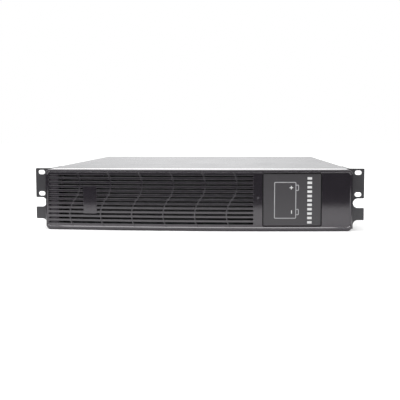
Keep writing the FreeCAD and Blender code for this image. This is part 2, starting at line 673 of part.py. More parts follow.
def front_edges(shape):
    """The edges around the bowed face of a shape."""
    bow = max((face for face in shape.Faces if isinstance(face.Surface, Part.Cylinder)
               and face.Surface.Radius > size("bezel_width")), key=lambda face: face.Area)
    return [number for number, edge in enumerate(shape.Edges, start=1)
            if any(edge.isSame(border) for border in bow.OuterWire.Edges)]


def soften(kind, name, base, edges, amount):
    """A fillet or chamfer of one size on numbered edges."""
    result = doc.addObject(kind, name)
    result.Base = base
    result.Edges = [(number, size(amount), size(amount)) for number in edges]
    return result


def rib_outline(foot):
    """A thin S from rim to rim: two equal arcs that bulge to opposite sides."""
    low = Vector(foot, 0, size("rim_bottom - rim_chamfer / 2"))
    high = Vector(foot + size("rib_lean"), 0, size("bezel_height - rim_top + rim_chamfer / 2"))
    half_chord = (high - low).Length / 4
    along = (high - low).normalize()
    across = Vector(-along.z, 0, along.x)
    bow = size("rib_bow")
    radius = (half_chord ** 2 + bow ** 2) / (2 * bow)
    turn = math.asin(half_chord / radius)
    edges = {}
    for hand, middle in ((1, low + along * half_chord), (-1, low + along * 3 * half_chord)):
        centre = middle - across * hand * (radius - bow)
        for offset in (-1, 1):
            reach = radius + hand * offset * size("rib_gauge") / 2
            spots = [centre + across * hand * reach * math.cos(angle) + along * reach * math.sin(angle)
                     for angle in (-turn, 0, turn)]
            edges[hand, offset] = Part.Arc(*spots)
    outer = [edges[1, 1], edges[-1, 1]]
    inner = [edges[-1, -1], edges[1, -1]]
    start = Part.LineSegment(edges[1, -1].StartPoint, edges[1, 1].StartPoint)
    end = Part.LineSegment(edges[-1, 1].EndPoint, edges[-1, -1].EndPoint)
    return Part.Wire(Part.__sortEdges__([curve.toShape() for curve in (start, *outer, end, *inner)]))


def rib_prisms():
    """All S-shaped ribs, run from the case edge to past the crown."""
    ribs = []
    for step in range(int(size("rib_count"))):
        foot = size(f"{BEZEL_LEFT} + rib_left + {step} * rib_pitch")
        ribs.append(Part.Face(rib_outline(foot)).extrude(Vector(0, -size("bezel_depth"), 0)))
    feature = doc.addObject("Part::Feature", "rib_prisms")
    feature.Shape = Part.makeCompound(ribs)
    feature.setExpression("Placement.Base.y", cells(behind("0")))
    return feature


def rim_edges(shape):
    """The edges where the rim turns down to the recessed face."""
    middle = size(behind("crown_radius - bezel_depth"))
    half = size("bezel_width / 2 - rim_width")
    low = size("rim_bottom")
    high = size("bezel_height - rim_top")
    near = 0.01

    def on_rim(spot):
        on_crown = abs(math.hypot(spot.x, spot.y - middle) - size("crown_radius")) < near
        return on_crown and abs(spot.x) < half + near and low - near < spot.z < high + near

    return [number for number, edge in enumerate(shape.Edges, start=1)
            if all(on_rim(spot) for spot in edge.discretize(3))]


def side_profile(name, points):
    """A shape of hook width in each hook's place, drawn from the side and run across the pack."""
    shapes = []
    for step in range(int(size("hook_count"))):
        sketch = doc.addObject("Sketcher::SketchObject", f"{name}_{step + 1}")
        sketch.Placement.Rotation = Rotation(Vector(1, 1, 1), 120)
        centre = f"{BEZEL_LEFT} + bezel_width * ({step} + 0.5) / hook_count"
        sketch.setExpression("Placement.Base.x", cells(f"{centre} - hook_width / 2"))
        polygon(sketch, [(behind(y), z) for y, z in points])
        shapes.append(extrude(sketch, Vector(1, 0, 0), "hook_width"))
    return shapes


def bezel_hooks():
    """Snap hooks that catch behind the cover's front lip, and lugs that rest on the case floor."""
    lip = f"{COVER_UNDER} - cover_lip"
    tab = f"{lip} - fit_gap"
    root = "bezel_height - bezel_wall / 2"
    catch = "sheet_gauge + fit_gap"
    hooks = side_profile("bezel_hook", (
        ("-fit_gap - hook_gauge", f"{tab} - hook_gauge"), ("hook_reach", f"{tab} - hook_gauge"),
        ("hook_reach", tab), (catch, f"{tab} + hook_barb"), (catch, tab), ("-fit_gap", tab),
        ("-fit_gap", root), ("-fit_gap - hook_gauge", root)))
    floor = "sheet_gauge + fit_gap"
    lugs = side_profile("bezel_lug", (
        ("-3 * hook_gauge", floor), ("hook_reach", floor), ("hook_reach", f"{floor} + hook_gauge"),
        ("-3 * hook_gauge", f"{floor} + hook_gauge")))
    return hooks + lugs


def front_bezel():
    face = "face_recess"
    inside = "(face_recess + front_wall)"
    body_prism = face_prism("bezel_body", "bezel_corner")
    outer = common("bezel_outer", body_prism, behind_crown("bezel_crown", "0", "0"))
    doc.recompute()
    rounded = soften("Part::Fillet", "bezel_rounded", outer, front_edges(outer.Shape), "edge_round")
    field = face_prism("bezel_field", "bezel_corner - rim_width", "rim_width", "rim_bottom", "rim_top")
    recess = cut("bezel_recess", field, behind_crown("recess_floor", face))
    rimmed = cut("bezel_rimmed", rounded, recess)
    doc.recompute()
    bevelled = soften("Part::Chamfer", "bezel_bevelled", rimmed, rim_edges(rimmed.Shape), "rim_chamfer")
    hollow = face_prism("bezel_hollow", "bezel_corner - bezel_wall", "bezel_wall", "bezel_wall", "bezel_wall")
    cavity = common("bezel_cavity", hollow, behind_crown("cavity_front", inside))
    shell = cut("bezel_shell", bevelled, cavity)

    slots = face_sketch("bezel_slots", "cut_margin")
    near = f"{BEZEL_LEFT} + slot_left + slot_height / 2"
    far = f"{BEZEL_LEFT} + slot_left + slot_length - slot_height / 2"
    for step in range(int(size("slot_count"))):
        stadium(slots, near, far, f"slot_bottom + {step} * slot_pitch", "slot_height")
    slot_prisms = extrude(slots, Vector(0, -1, 0), "bezel_depth + 2 * cut_margin")
    slotted = cut("bezel_slotted", shell, slot_prisms)

    badge = patch_prism("badge", "badge_left", "badge_bottom", "badge_width", "badge_height", "slot_height / 4")
    badge_pad = crown_layer("badge_pad", badge, face, inside)
    blind = patch_prism("blind", "blind_left", "slot_bottom - slot_height", "blind_width",
                        "(slot_count - 1) * slot_pitch + 2 * slot_height", "slot_height / 4")
    blind_pad = crown_layer("blind_pad", blind, f"{face} + blind_depth", inside)
    ribs = crown_layer("bezel_ribs", rib_prisms(), f"{face} - rib_rise", f"{face} + rib_depth")
    plate_face = f"{face} + plate_inset"
    plate_back = f"{plate_face} + plate_gauge"
    seat = patch_prism(
        "plate_seat", "plate_left - plate_gap", "plate_bottom - plate_gap",
        "plate_width + 2 * plate_gap", "plate_height + 2 * plate_gap", "plate_corner + plate_gap")
    seat_cut = cut("plate_seat", seat, behind_crown("seat_floor", plate_back))
    hole = face_sketch("lens_outline", "0")
    circle(hole, f"{BEZEL_LEFT} + lens_left", "lens_bottom", "lens_radius")
    lens = extrude(hole, Vector(0, -1, 0), "bezel_depth + cut_margin")
    whole = fuse("bezel_whole", [slotted, badge_pad, blind_pad, ribs, *bezel_hooks()])
    subpart("front_bezel", cut("front_bezel", whole, group("bezel_seats", [seat_cut, lens])))
    subpart("status_lens", crown_layer("status_lens", lens, f"{face} - lens_rise", inside))

    plate = patch_prism("plate", "plate_left", "plate_bottom", "plate_width", "plate_height", "plate_corner")
    subpart("icon_plate", crown_layer("icon_plate", plate, plate_face, plate_back))
    ring = cut("gasket_ring", seat, plate)
    subpart("plate_gasket", crown_layer("plate_gasket", ring, f"{plate_face} + gasket_inset", plate_back))


# Fasteners
def pan_screw(name, base, axis, head, crown, shank, length):
    """A screw with a round head: the head sits on the base point, the shank runs along the axis."""
    rod = cylinder(f"{name}_shank", base, axis, shank, length)
    cap = cylinder(f"{name}_head", base, OPPOSITE[axis], head, crown)
    return fuse(name, [rod, cap])


def small_screw(name, base, axis, length="screw_length"):
    """A small screw with a six-sided head."""
    rod = cylinder(f"{name}_shank", base, axis, "screw_radius", length)
    cap = hexagon(f"{name}_head", base, OPPOSITE[axis], "screw_head", "screw_crown")
    return fuse(name, [rod, cap])


def case_screws():
    cover = []
    ears = []
    panel = []
    retainer = []
    for (side, sign), inwards in zip(SIDES, ("x", "-x")):
        for number, y in enumerate(COVER_SCREWS, start=1):
            base = (f"{sign} * case_width / 2", behind(y), COVER_SCREW_HEIGHT)
            cover.append(small_screw(f"cover_screw_{side}_{number}", base, inwards))
        for number, (y, z) in enumerate(EAR_SCREWS, start=1):
            base = (f"{sign} * (case_width / 2 + ear_gauge)", behind(y), z)
            ears.append(pan_screw(f"ear_screw_{side}_{number}", base, inwards, "ear_screw_head",
                                  "ear_screw_crown", "ear_screw_radius", "ear_screw_length"))
        for number, z in enumerate(PANEL_SCREWS, start=1):
            base = (f"{sign} * {PANEL_SCREW_PLACE}", behind("case_depth"), z)
            panel.append(small_screw(f"panel_screw_{side}_{number}", base, "-y"))
        for number, z in enumerate(RETAINER_SCREWS, start=1):
            base = (f"{sign} * {RETAINER_SCREW}", behind("0"), z)
            retainer.append(small_screw(f"retainer_screw_{side}_{number}", base, "y"))
    subpart("cover_screws", group("cover_screws", cover))
    subpart("ear_screws", group("ear_screws", ears))
    subpart("rear_panel_screws", group("rear_panel_screws", panel))
    subpart("retainer_screws", group("retainer_screws", retainer))


# Batteries, their trays and what holds them
def battery_tray(side, sign):
    body = new_body(f"battery_tray_{side}")
    body.setExpression("Placement.Base.x", cells(f"{sign} * {TRAY_MIDDLE}"))
    half = f"({TRAY_WIDTH} / 2)"
    inner = f"({TRAY_INNER} / 2)"
    section = body_sketch(body, f"tray_section_{side}", "XZ_Plane", "-tray_setback")
    polygon(section, (
        (f"-{half}", "sheet_gauge"), (half, "sheet_gauge"), (half, TRAY_TOP), (inner, TRAY_TOP),
        (inner, TRAY_FLOOR), (f"-{inner}", TRAY_FLOOR), (f"-{inner}", TRAY_TOP), (f"-{half}", TRAY_TOP)))
    pad(body, section, TRAY_LENGTH, backwards=True)
    back = f"tray_setback + {TRAY_LENGTH} - tray_gauge"
    for end, y in (("front", "tray_setback"), ("back", back)):
        wall = body_sketch(body, f"tray_{end}_{side}", "XZ_Plane", f"-({y})")
        rectangle(wall, f"-{half}", "sheet_gauge", f"2 * {half}", "tray_wall")
        pad(body, wall, "tray_gauge", backwards=True)
    notch = body_sketch(body, f"tray_notch_{side}", "XZ_Plane", "-tray_setback")
    notch_floor = "wiring_height - sleeve_height"
    notch_height = f"{TRAY_TOP} - ({notch_floor}) + cut_margin"
    rectangle(notch, "-channel_width / 2", notch_floor, "channel_width", notch_height)
    pocket(body, notch)
    holes = body_sketch(body, f"tray_holes_{side}", "YZ_Plane")
    circle(holes, JOINT_LINE, STRAP_SCREW, "screw_radius")
    pocket(body, holes)


def battery(number, x, y, turned):
    """A sealed block on its side: case, lid joint and two terminal tabs on the lid."""
    name = f"battery_{number}"
    low_x = "0 - battery_height / 2"
    low_y = "0 - battery_length / 2"
    case = box(f"{name}_case", (low_x, low_y, "0"), ("battery_height", "battery_length", "battery_width"))
    lid_line = "battery_height / 2 - lid_height"
    ring = box(f"{name}_ring", (lid_line, f"{low_y} - cut_margin", "0 - cut_margin"),
               ("lid_groove", "battery_length + 2 * cut_margin", "battery_width + 2 * cut_margin"))
    core = box(f"{name}_core", (lid_line, f"{low_y} + lid_groove", "lid_groove"),
               ("lid_groove", "battery_length - 2 * lid_groove", "battery_width - 2 * lid_groove"))
    grooved = cut(f"{name}_grooved", case, cut(f"{name}_groove", ring, core))
    tabs = []
    for sign in ("-1", "1"):
        base = ("battery_height / 2", f"{sign} * (battery_length / 2 - tab_inset) - tab_width / 2",
                f"wiring_height - {TRAY_FLOOR} - tab_gauge / 2")
        tabs.append(box(f"{name}_tab", base, ("tab_length", "tab_width", "tab_gauge")))
    block = fuse(name, [grooved, *tabs])
    block.Placement.Rotation = Rotation(Vector(0, 0, 1), 180 if turned else 0)
    place(block, (x, behind(y), TRAY_FLOOR))
    subpart(name, block)


def batteries():
    number = 0
    reach = "(channel_width + battery_height) / 2"
    for side, sign in SIDES:
        for y in (FRONT_BLOCK, REAR_BLOCK):
            for hand, turned in (("-1", False), ("1", True)):
                number += 1
                battery(number, f"{sign} * {TRAY_MIDDLE} + {hand} * {reach}", y, turned)


def hold_down(side, sign):
    """A strap over the blocks of one tray, on a strip of foam, with its two screws."""
    middle = f"{sign} * {TRAY_MIDDLE}"
    start = f"{JOINT_LINE} - strap_width / 2"
    half = f"({TRAY_WIDTH} / 2)"
    foam = box(f"foam_strip_{side}", (f"{middle} - {half}", behind(start), BLOCK_TOP),
               (TRAY_WIDTH, "strap_width", "foam_gauge"))
    subpart(f"foam_strip_{side}", foam)
    body = new_body(f"hold_down_strap_{side}")
    body.setExpression("Placement.Base.x", cells(middle))
    outer = f"({half} + strap_gauge)"
    under = f"{STRAP_TOP} - strap_gauge"
    foot = f"{STRAP_TOP} - strap_leg"
    section = body_sketch(body, f"strap_section_{side}", "XZ_Plane", f"-({start})")
    polygon(section, (
        (f"-{outer}", foot), (f"-{half}", foot), (f"-{half}", under), (half, under),
        (half, foot), (outer, foot), (outer, STRAP_TOP), (f"-{outer}", STRAP_TOP)))
    pad(body, section, "strap_width", backwards=True)
    holes = body_sketch(body, f"strap_holes_{side}", "YZ_Plane")
    circle(holes, JOINT_LINE, STRAP_SCREW, "screw_radius")
    pocket(body, holes)
    edges = [(f"{hand} * {outer}", JOINT_LINE, STRAP_TOP) for hand in ("-1", "1")]
    fold(body, edges, "strap_gauge / 2 + bend_inside")
    screws = []
    for hand, inwards in (("-1", "x"), ("1", "-x")):
        base = (f"{middle} + {hand} * {outer}", behind(JOINT_LINE), STRAP_SCREW)
        screws.append(small_screw(f"strap_screw_{side}", base, inwards, "strap_gauge + tray_gauge"))
    subpart(f"strap_screws_{side}", group(f"strap_screws_{side}", screws))


def tray_guides():
    rail = new_body("tray_guide_rail")
    section = body_sketch(rail, "rail_section", "XZ_Plane", "-tray_setback")
    half = "rail_width / 2"
    inner = f"({half} - sheet_gauge)"
    top = "sheet_gauge + rail_height"
    under = "rail_height"
    polygon(section, (
        (f"-{half}", "sheet_gauge"), (f"-{inner}", "sheet_gauge"), (f"-{inner}", under), (inner, under),
        (inner, "sheet_gauge"), (half, "sheet_gauge"), (half, top), (f"-{half}", top)))
    pad(rail, section, TRAY_LENGTH, backwards=True)
    stop = new_body("tray_stop_angle")
    length = f"2 * {TRAY_MIDDLE}"
    angle = body_sketch(stop, "stop_section", "YZ_Plane", f"-{TRAY_MIDDLE}")
    front = f"(tray_setback + {TRAY_LENGTH} + fit_gap)"
    peak = "sheet_gauge + stop_height"
    polygon(angle, (
        (front, "sheet_gauge"), (f"{front} + stop_height", "sheet_gauge"),
        (f"{front} + stop_height", "2 * sheet_gauge"), (f"{front} + sheet_gauge", "2 * sheet_gauge"),
        (f"{front} + sheet_gauge", peak), (front, peak)))
    pad(stop, angle, length)
    fold(stop, [("0", front, "sheet_gauge")], "bend_inside + sheet_gauge")


def battery_retainer():
    """A plate across the front of the trays, with feet behind the lips of the case."""
    body = new_body("battery_retainer")
    plan = body_sketch(body, "retainer_plan", "XY_Plane", "sheet_gauge + retainer_lift")
    back = "(tray_setback - fit_gap)"
    front = f"({back} - sheet_gauge)"
    web = f"({RETAINER_HALF} - sheet_gauge)"
    tip = f"({RETAINER_HALF} + retainer_foot)"
    foot_back = "2 * sheet_gauge"
    polygon(plan, (
        (f"-{tip}", "sheet_gauge"), (f"-{web}", "sheet_gauge"), (f"-{web}", front), (web, front),
        (web, "sheet_gauge"), (tip, "sheet_gauge"), (tip, foot_back), (RETAINER_HALF, foot_back),
        (RETAINER_HALF, back), (f"-{RETAINER_HALF}", back), (f"-{RETAINER_HALF}", foot_back),
        (f"-{tip}", foot_back)))
    pad(body, plan, "retainer_height")
    holes = body_sketch(body, "retainer_holes", "XZ_Plane")
    for sign in ("-1", "1"):
        for z in RETAINER_SCREWS:
            circle(holes, f"{sign} * {RETAINER_SCREW}", z, "screw_radius")
    pocket(body, holes)


# Leads
def sleeve(name, x, sign, y):
    """An insulating sleeve pushed on the tab that points along the sign from the face at x."""
    hollow = "(tab_length + sleeve_play)"
    low = x if sign == "1" else f"{x} - {SLEEVE_LENGTH}"
    slot_low = f"{x} - cut_margin" if sign == "1" else f"{x} - {hollow}"
    shell = box(f"{name}_shell",
                (low, behind(f"{y} - sleeve_width / 2"), "wiring_height - sleeve_height / 2"),
                (SLEEVE_LENGTH, "sleeve_width", "sleeve_height"))
    slot_side = behind(f"{y} - tab_width / 2 - sleeve_play")
    slot = box(f"{name}_slot", (slot_low, slot_side, "wiring_height - tab_gauge / 2 - sleeve_play"),
               (f"{hollow} + cut_margin", "tab_width + 2 * sleeve_play", "tab_gauge + 2 * sleeve_play"))
    return cut(name, shell, slot)


def lead(name, x, start, end):
    """A straight insulated wire along the pack at wiring height."""
    return cylinder(name, (x, behind(start), "wiring_height"), "y", "lead_radius", f"{end} - ({start})")


def tray_wiring(side, sign):
    """Three jumpers that join the four blocks of a tray in series, and its two leads to the board."""
    middle = f"{sign} * {TRAY_MIDDLE}"
    reach = "(battery_length / 2 - tab_inset)"
    gap = f"(channel_width - 2 * {SLEEVE_LENGTH})"
    edge = "sleeve_width / 2"
    first = f"({FRONT_BLOCK} - {reach})"
    near = f"({FRONT_BLOCK} + {reach})"
    far = f"({REAR_BLOCK} - {reach})"
    last = f"({REAR_BLOCK} + {reach})"
    board_front = f"({BOARD_MIDDLE} - board_depth / 2)"
    cross_base = (f"{middle} - {gap} / 2", behind(first), "wiring_height")
    cross = [cylinder(f"cross_wire_{side}", cross_base, "x", "lead_radius", gap)]
    jumpers = []
    leads = []
    for hand, inwards in (("-1", "1"), ("1", "-1")):
        face = f"{middle} + {hand} * channel_width / 2"
        lane = f"{face} + {inwards} * {SLEEVE_LENGTH} / 2"
        cross.append(sleeve(f"cross_sleeve_{side}", face, inwards, first))
        link = [sleeve(f"link_sleeve_{side}", face, inwards, y) for y in (near, far)]
        link.append(lead(f"link_wire_{side}", lane, f"{near} + {edge}", f"{far} - {edge}"))
        jumpers.append(fuse(f"link_{side}", link))
        tail = lead(f"lead_wire_{side}", lane, f"{last} + {edge}", board_front)
        leads.append(fuse(f"lead_{side}", [sleeve(f"lead_sleeve_{side}", face, inwards, last), tail]))
    jumpers.append(fuse(f"cross_link_{side}", cross))
    subpart(f"series_jumpers_{side}", group(f"series_jumpers_{side}", jumpers))
    subpart(f"pack_leads_{side}", group(f"pack_leads_{side}", leads))


# Fuse board
def fuse_board():
    front = f"({BOARD_MIDDLE} - board_depth / 2)"
    plate = box("board_plate", (f"0 - {BOARD_HALF}", behind(front), "sheet_gauge + standoff_height"),
                (f"2 * {BOARD_HALF}", "board_depth", "board_gauge"))
    inset = "2 * standoff_radius"
    holes = []
    standoffs = []
    screws = []
    for sign in ("-1", "1"):
        for hand in ("-1", "1"):
            x = f"{sign} * ({BOARD_HALF} - {inset})"
            y = behind(f"{BOARD_MIDDLE} + {hand} * (board_depth / 2 - {inset})")
            spot = (x, y, "sheet_gauge")
            bore_foot = (x, y, "sheet_gauge + standoff_height / 2")
            holes.append(cylinder("board_hole", spot, "z", "screw_radius", BOARD_TOP))
            post = cylinder("standoff_post", spot, "z", "standoff_radius", "standoff_height")
            bore = cylinder("standoff_bore", bore_foot, "z", "screw_radius", "standoff_height")
            standoffs.append(cut("standoff", post, bore))
            screws.append(small_screw("board_screw", (x, y, BOARD_TOP), "-z"))
    subpart("fuse_board", cut("fuse_board", plate, group("board_holes", holes)))
    subpart("board_standoffs", group("board_standoffs", standoffs))
    subpart("board_screws", group("board_screws", screws))


def terminal_blocks():
    """Two blocks at the board's front for the tray leads and two at its back for the sockets."""
    height = f"wiring_height + 2 * lead_radius - {BOARD_TOP}"
    rows = ((TRAY_MIDDLE, BLOCK_WIDTH, f"{BOARD_MIDDLE} - board_depth / 2"),
            ("socket_spacing / 2", f"({WAY_PITCH} + 2 * block_edge)",
             f"{BOARD_MIDDLE} + board_depth / 2 - block_depth"))
    blocks = []
    for sign in ("-1", "1"):
        for middle, width, y in rows:
            base = (f"{sign} * {middle} - {width} / 2", behind(y), BOARD_TOP)
            blocks.append(box("terminal_block", base, (width, "block_depth", height)))
    subpart("terminal_blocks", group("terminal_blocks", blocks))


def fuse_links():
    """Two fuses, each a tube between two clips that stand on the board."""
    links = []
    y = f"{BOARD_MIDDLE} - board_depth / 4"
    for sign in ("-1", "1"):
        middle = f"{sign} * fuse_place"
        start = f"{middle} - fuse_length / 2"
        barrel = cylinder("fuse_barrel", (start, behind(y), f"{BOARD_TOP} + clip_gauge + fuse_radius"), "x",
                          "fuse_radius", "fuse_length")
        clips = []
        for low in (start, f"{start} + fuse_length - clip_gauge"):
            clips.append(box("fuse_clip", (low, behind(f"{y} - fuse_radius - clip_gauge / 4"), BOARD_TOP),
                             ("clip_gauge", "2 * fuse_radius + clip_gauge / 2", "clip_gauge + fuse_radius")))
        links.append(fuse("fuse_link", [barrel, *clips]))
    subpart("fuse_links", group("fuse_links", links))


# Sockets and ground stud in the back panel
SOCKET_INNER = f"({PANEL_FRONT} - socket_depth)"
SOCKET_MOUTH = "(case_depth + rear_reach)"


def dc_socket(number, sign):
    """A two-way socket through the back panel, its contact blades, leads and screws."""
    middle = f"{sign} * socket_spacing / 2"
    body = new_body(f"dc_socket_{number}")
    body.setExpression("Placement.Base.x", cells(middle))
    low = "wiring_height - socket_height / 2"
    housing = body_sketch(body, f"socket_housing_{number}", "XZ_Plane", f"-{SOCKET_INNER}")
    rounded_rectangle(housing, "-socket_width / 2", low, "socket_width", "socket_height", "socket_corner")
    pad(body, housing, f"{SOCKET_MOUTH} - {SOCKET_INNER}", backwards=True)
    flange = body_sketch(body, f"socket_flange_{number}", "XZ_Plane", "-case_depth")
    half = "(socket_width / 2 + flange_edge)"
    rounded_rectangle(flange, f"-{half}", low, f"2 * {half}", "socket_height", "socket_corner")
    pad(body, flange, "flange_gauge", backwards=True)
    ways = body_sketch(body, f"socket_ways_{number}", "XZ_Plane", f"-({SOCKET_INNER} + socket_back)")
    holes = body_sketch(body, f"socket_holes_{number}", "XZ_Plane", f"-{SOCKET_INNER}")
    contacts = []
    leads = []
    screws = []
    for hand in ("-1", "1"):
        x = f"{hand} * {WAY_PITCH} / 2"
        rectangle(ways, f"{x} - way_width / 2", "wiring_height - way_height / 2", "way_width", "way_height")
        rectangle(holes, f"{x} - contact_gauge / 2 - sleeve_play",
                  "wiring_height - contact_width / 2 - sleeve_play",
                  "contact_gauge + 2 * sleeve_play", "contact_width + 2 * sleeve_play")
        circle(holes, f"{hand} * (socket_width + flange_edge) / 2", "wiring_height", "screw_radius")
        tail = f"{SOCKET_INNER} - contact_tail"
        blade = (f"{middle} + {x} - contact_gauge / 2", behind(tail), "wiring_height - contact_width / 2")
        contacts.append(box(f"contact_{number}", blade, (
            "contact_gauge", f"{SOCKET_MOUTH} - contact_setback - ({tail})", "contact_width")))
        board_back = f"{BOARD_MIDDLE} + board_depth / 2"
        leads.append(lead(f"socket_lead_{number}", f"{middle} + {x}", board_back, tail))
        base = (f"{middle} + {hand} * (socket_width + flange_edge) / 2", behind("case_depth + flange_gauge"),
                "wiring_height")
        screws.append(small_screw(f"socket_screw_{number}", base, "-y"))
    pocket(body, ways, f"{SOCKET_MOUTH} - {SOCKET_INNER}")
    pocket(body, holes)
    subpart(f"dc_contacts_{number}", group(f"dc_contacts_{number}", contacts))
    subpart(f"socket_leads_{number}", group(f"socket_leads_{number}", leads))
    subpart(f"socket_screws_{number}", group(f"socket_screws_{number}", screws))


def ground_post():
    foot = ("stud_place", behind(PANEL_FRONT), "wiring_height")
    seat = ("stud_place", behind("case_depth"), "wiring_height")
    stud = pan_screw("ground_stud", foot, "y", "2 * stud_radius", "screw_crown", "stud_radius",
                     "sheet_gauge + stud_length")
    subpart("ground_stud", stud)
    nut = hexagon("nut_hexagon", seat, "y", "nut_radius", "nut_height")
    bore = cylinder("nut_bore", seat, "y", "stud_radius", "nut_height")
    subpart("ground_nut", cut("ground_nut", nut, bore))


# Whole pack
def build():
    chassis_tray()
    top_cover()
    rear_panel()
    front_bezel()
    for side, sign in SIDES:
        rack_ear(side, sign)
    case_screws()
    battery_retainer()
    tray_guides()
    for side, sign in SIDES:
        battery_tray(side, sign)
        hold_down(side, sign)
        tray_wiring(side, sign)
    batteries()
    fuse_board()
    terminal_blocks()
    fuse_links()
    for number, (side, sign) in enumerate(SIDES, start=1):
        dc_socket(number, sign)
    ground_post()
    doc.recompute()


def check():
    """Stops on any failed object, or on a piece that is empty or not a sound solid."""
    for thing in doc.Objects:
        if "Invalid" in thing.State or "Error" in thing.State:
            raise RuntimeError(f"{thing.Name} failed: {thing.State}")
    for thing in subparts:
        if thing.Shape.isNull() or not thing.Shape.isValid() or not thing.Shape.Solids:
            raise RuntimeError(f"{thing.Label} is not a sound solid")


def write():
    os.makedirs("parts", exist_ok=True)
    for thing in subparts:
        thing.Shape.exportStep(f"parts/{thing.Label}.step")
        box_size = thing.Shape.BoundBox
        print(f"{thing.Label}: {len(thing.Shape.Solids)} solids, {thing.Shape.Volume:.0f} mm3, "
              f"{box_size.XLength:.1f} x {box_size.YLength:.1f} x {box_size.ZLength:.1f} mm")


build()
check()
write()
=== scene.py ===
"""Looks of a rack battery pack: the finish of every piece, the printed pictogram and the stage.

Laid out as an add-on and run as a script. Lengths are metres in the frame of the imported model: +Z is up,
the bezel looks along -Y, and +X is on the right as one faces it. MM turns millimetres to metres.
"""

import math

import bmesh
import bpy
from mathutils import Matrix, Vector
from mathutils.bvhtree import BVHTree


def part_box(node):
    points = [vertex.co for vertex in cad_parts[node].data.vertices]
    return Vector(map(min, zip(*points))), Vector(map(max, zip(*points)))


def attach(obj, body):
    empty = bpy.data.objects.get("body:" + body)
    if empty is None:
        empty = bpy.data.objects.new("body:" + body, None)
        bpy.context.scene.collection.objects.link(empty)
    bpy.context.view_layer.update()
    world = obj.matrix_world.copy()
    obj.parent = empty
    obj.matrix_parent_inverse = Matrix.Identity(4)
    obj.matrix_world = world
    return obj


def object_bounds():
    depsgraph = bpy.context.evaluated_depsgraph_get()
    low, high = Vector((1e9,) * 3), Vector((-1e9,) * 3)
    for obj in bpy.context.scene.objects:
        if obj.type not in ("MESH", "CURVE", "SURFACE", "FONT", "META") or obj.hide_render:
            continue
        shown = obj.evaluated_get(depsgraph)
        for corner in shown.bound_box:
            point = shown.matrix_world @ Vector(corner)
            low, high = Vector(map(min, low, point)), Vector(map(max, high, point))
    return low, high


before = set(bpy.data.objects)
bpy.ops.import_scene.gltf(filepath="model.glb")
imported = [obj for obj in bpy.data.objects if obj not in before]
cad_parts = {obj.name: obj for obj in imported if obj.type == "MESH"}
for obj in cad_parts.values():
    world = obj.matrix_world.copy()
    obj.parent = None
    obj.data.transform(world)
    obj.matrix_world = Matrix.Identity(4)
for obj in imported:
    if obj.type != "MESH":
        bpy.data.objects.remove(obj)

bl_info = {
    "name": "Battery pack looks",
    "version": (1, 0, 0),
    "blender": (4, 5, 0),
    "location": "View3D > Sidebar > Battery pack",
    "description": "Finishes, print and stage of a rack battery pack",
    "category": "Object",
}

MM = 0.001
BODY = "root"
CAD_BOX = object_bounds()
FRAME_PIXELS = 400
SENSOR_WIDTH = 36.0
# Colour sockets of a Mix node, by number because other sockets have the same names
MIX_A, MIX_B, MIX_RESULT = 6, 7, 2


# Helpers shared by the pieces
def linear(hex_text):
    """Linear red, green, blue and alpha of an sRGB hex colour."""
    parts = [int(hex_text[place:place + 2], 16) / 255 for place in (1, 3, 5)]
    light = [part / 12.92 if part <= 0.04045 else ((part + 0.055) / 1.055) ** 2.4 for part in parts]
    return (*light, 1.0)


def add_node(tree, kind, links=None, **settings):
    """Adds a node: links gives its inputs by name or number, as sockets or plain values."""
    node = tree.nodes.new(kind)
    for name, value in settings.items():
        setattr(node, name, value)
    for name, value in (links or {}).items():
        if isinstance(value, bpy.types.NodeSocket):
            tree.links.new(value, node.inputs[name])
        else:
            node.inputs[name].default_value = value
    return node


def new_material(name, **values):
    """An empty material with one Principled shader; values are set on the shader's own sockets."""
    material = bpy.data.materials.new(name)
    material.use_nodes = True
    tree = material.node_tree
    tree.nodes.clear()
    sockets = {key.replace("_", " "): value for key, value in values.items()}
    shader = add_node(tree, "ShaderNodeBsdfPrincipled", sockets)
    add_node(tree, "ShaderNodeOutputMaterial", {"Surface": shader.outputs["BSDF"]})
    return material, tree, shader


def pattern_scale(size_mm):
    """Texture scale, in repeats per metre, of a pattern whose features are so many millimetres wide."""
    return 1.0 / (size_mm * MM)


def place_of(tree):
    """The shading point in the frame of the model, in metres."""
    return add_node(tree, "ShaderNodeTexCoord").outputs["Object"]


def dress(node, material):
    """Gives a CAD node one material."""
    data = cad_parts[node].data
    data.materials.clear()
    data.materials.append(material)


def add_piece(name, mesh, material):
    """Links a new mesh as a piece of the pack that rides on its body."""
    mesh.materials.append(material)
    piece = bpy.data.objects.new(name, mesh)
    bpy.context.scene.collection.objects.link(piece)
    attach(piece, BODY)


def front_of(node):
    """A function that gives the Y of a node's front at a place across and up."""
    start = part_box(node)[0].y - 1.0
    tree = BVHTree.FromObject(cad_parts[node], bpy.context.evaluated_depsgraph_get())

    def front(x, z):
        hit = tree.ray_cast(Vector((x, start, z)), Vector((0, 1, 0)))
        if hit[0] is None:
            raise RuntimeError(f"{node} has no front at {x:.4f}, {z:.4f}")
        return hit[0].y

    return front


# Sizes and colours that a user would change
class PrintSettings(bpy.types.PropertyGroup):
    """The print on the plate"""
    line_width: bpy.props.FloatProperty(
        name="Line width", description="Width of the printed lines", default=1.2 * MM, unit="LENGTH")
    ink_height: bpy.props.FloatProperty(
        name="Ink height", description="How far the ink stands on the plate", default=0.06 * MM,
        unit="LENGTH")
    bar_count: bpy.props.IntProperty(
        name="Bars", description="Short bars beside the battery sign", default=11)
    line_colour: bpy.props.FloatVectorProperty(
        name="Lines", description="Colour of the outline", subtype="COLOR", size=4,
        default=linear("#a2a2a4"))
    ink_colour: bpy.props.FloatVectorProperty(
        name="Ink", description="Colour of the bars and pole signs", subtype="COLOR", size=4,
        default=linear("#d9d9d9"))


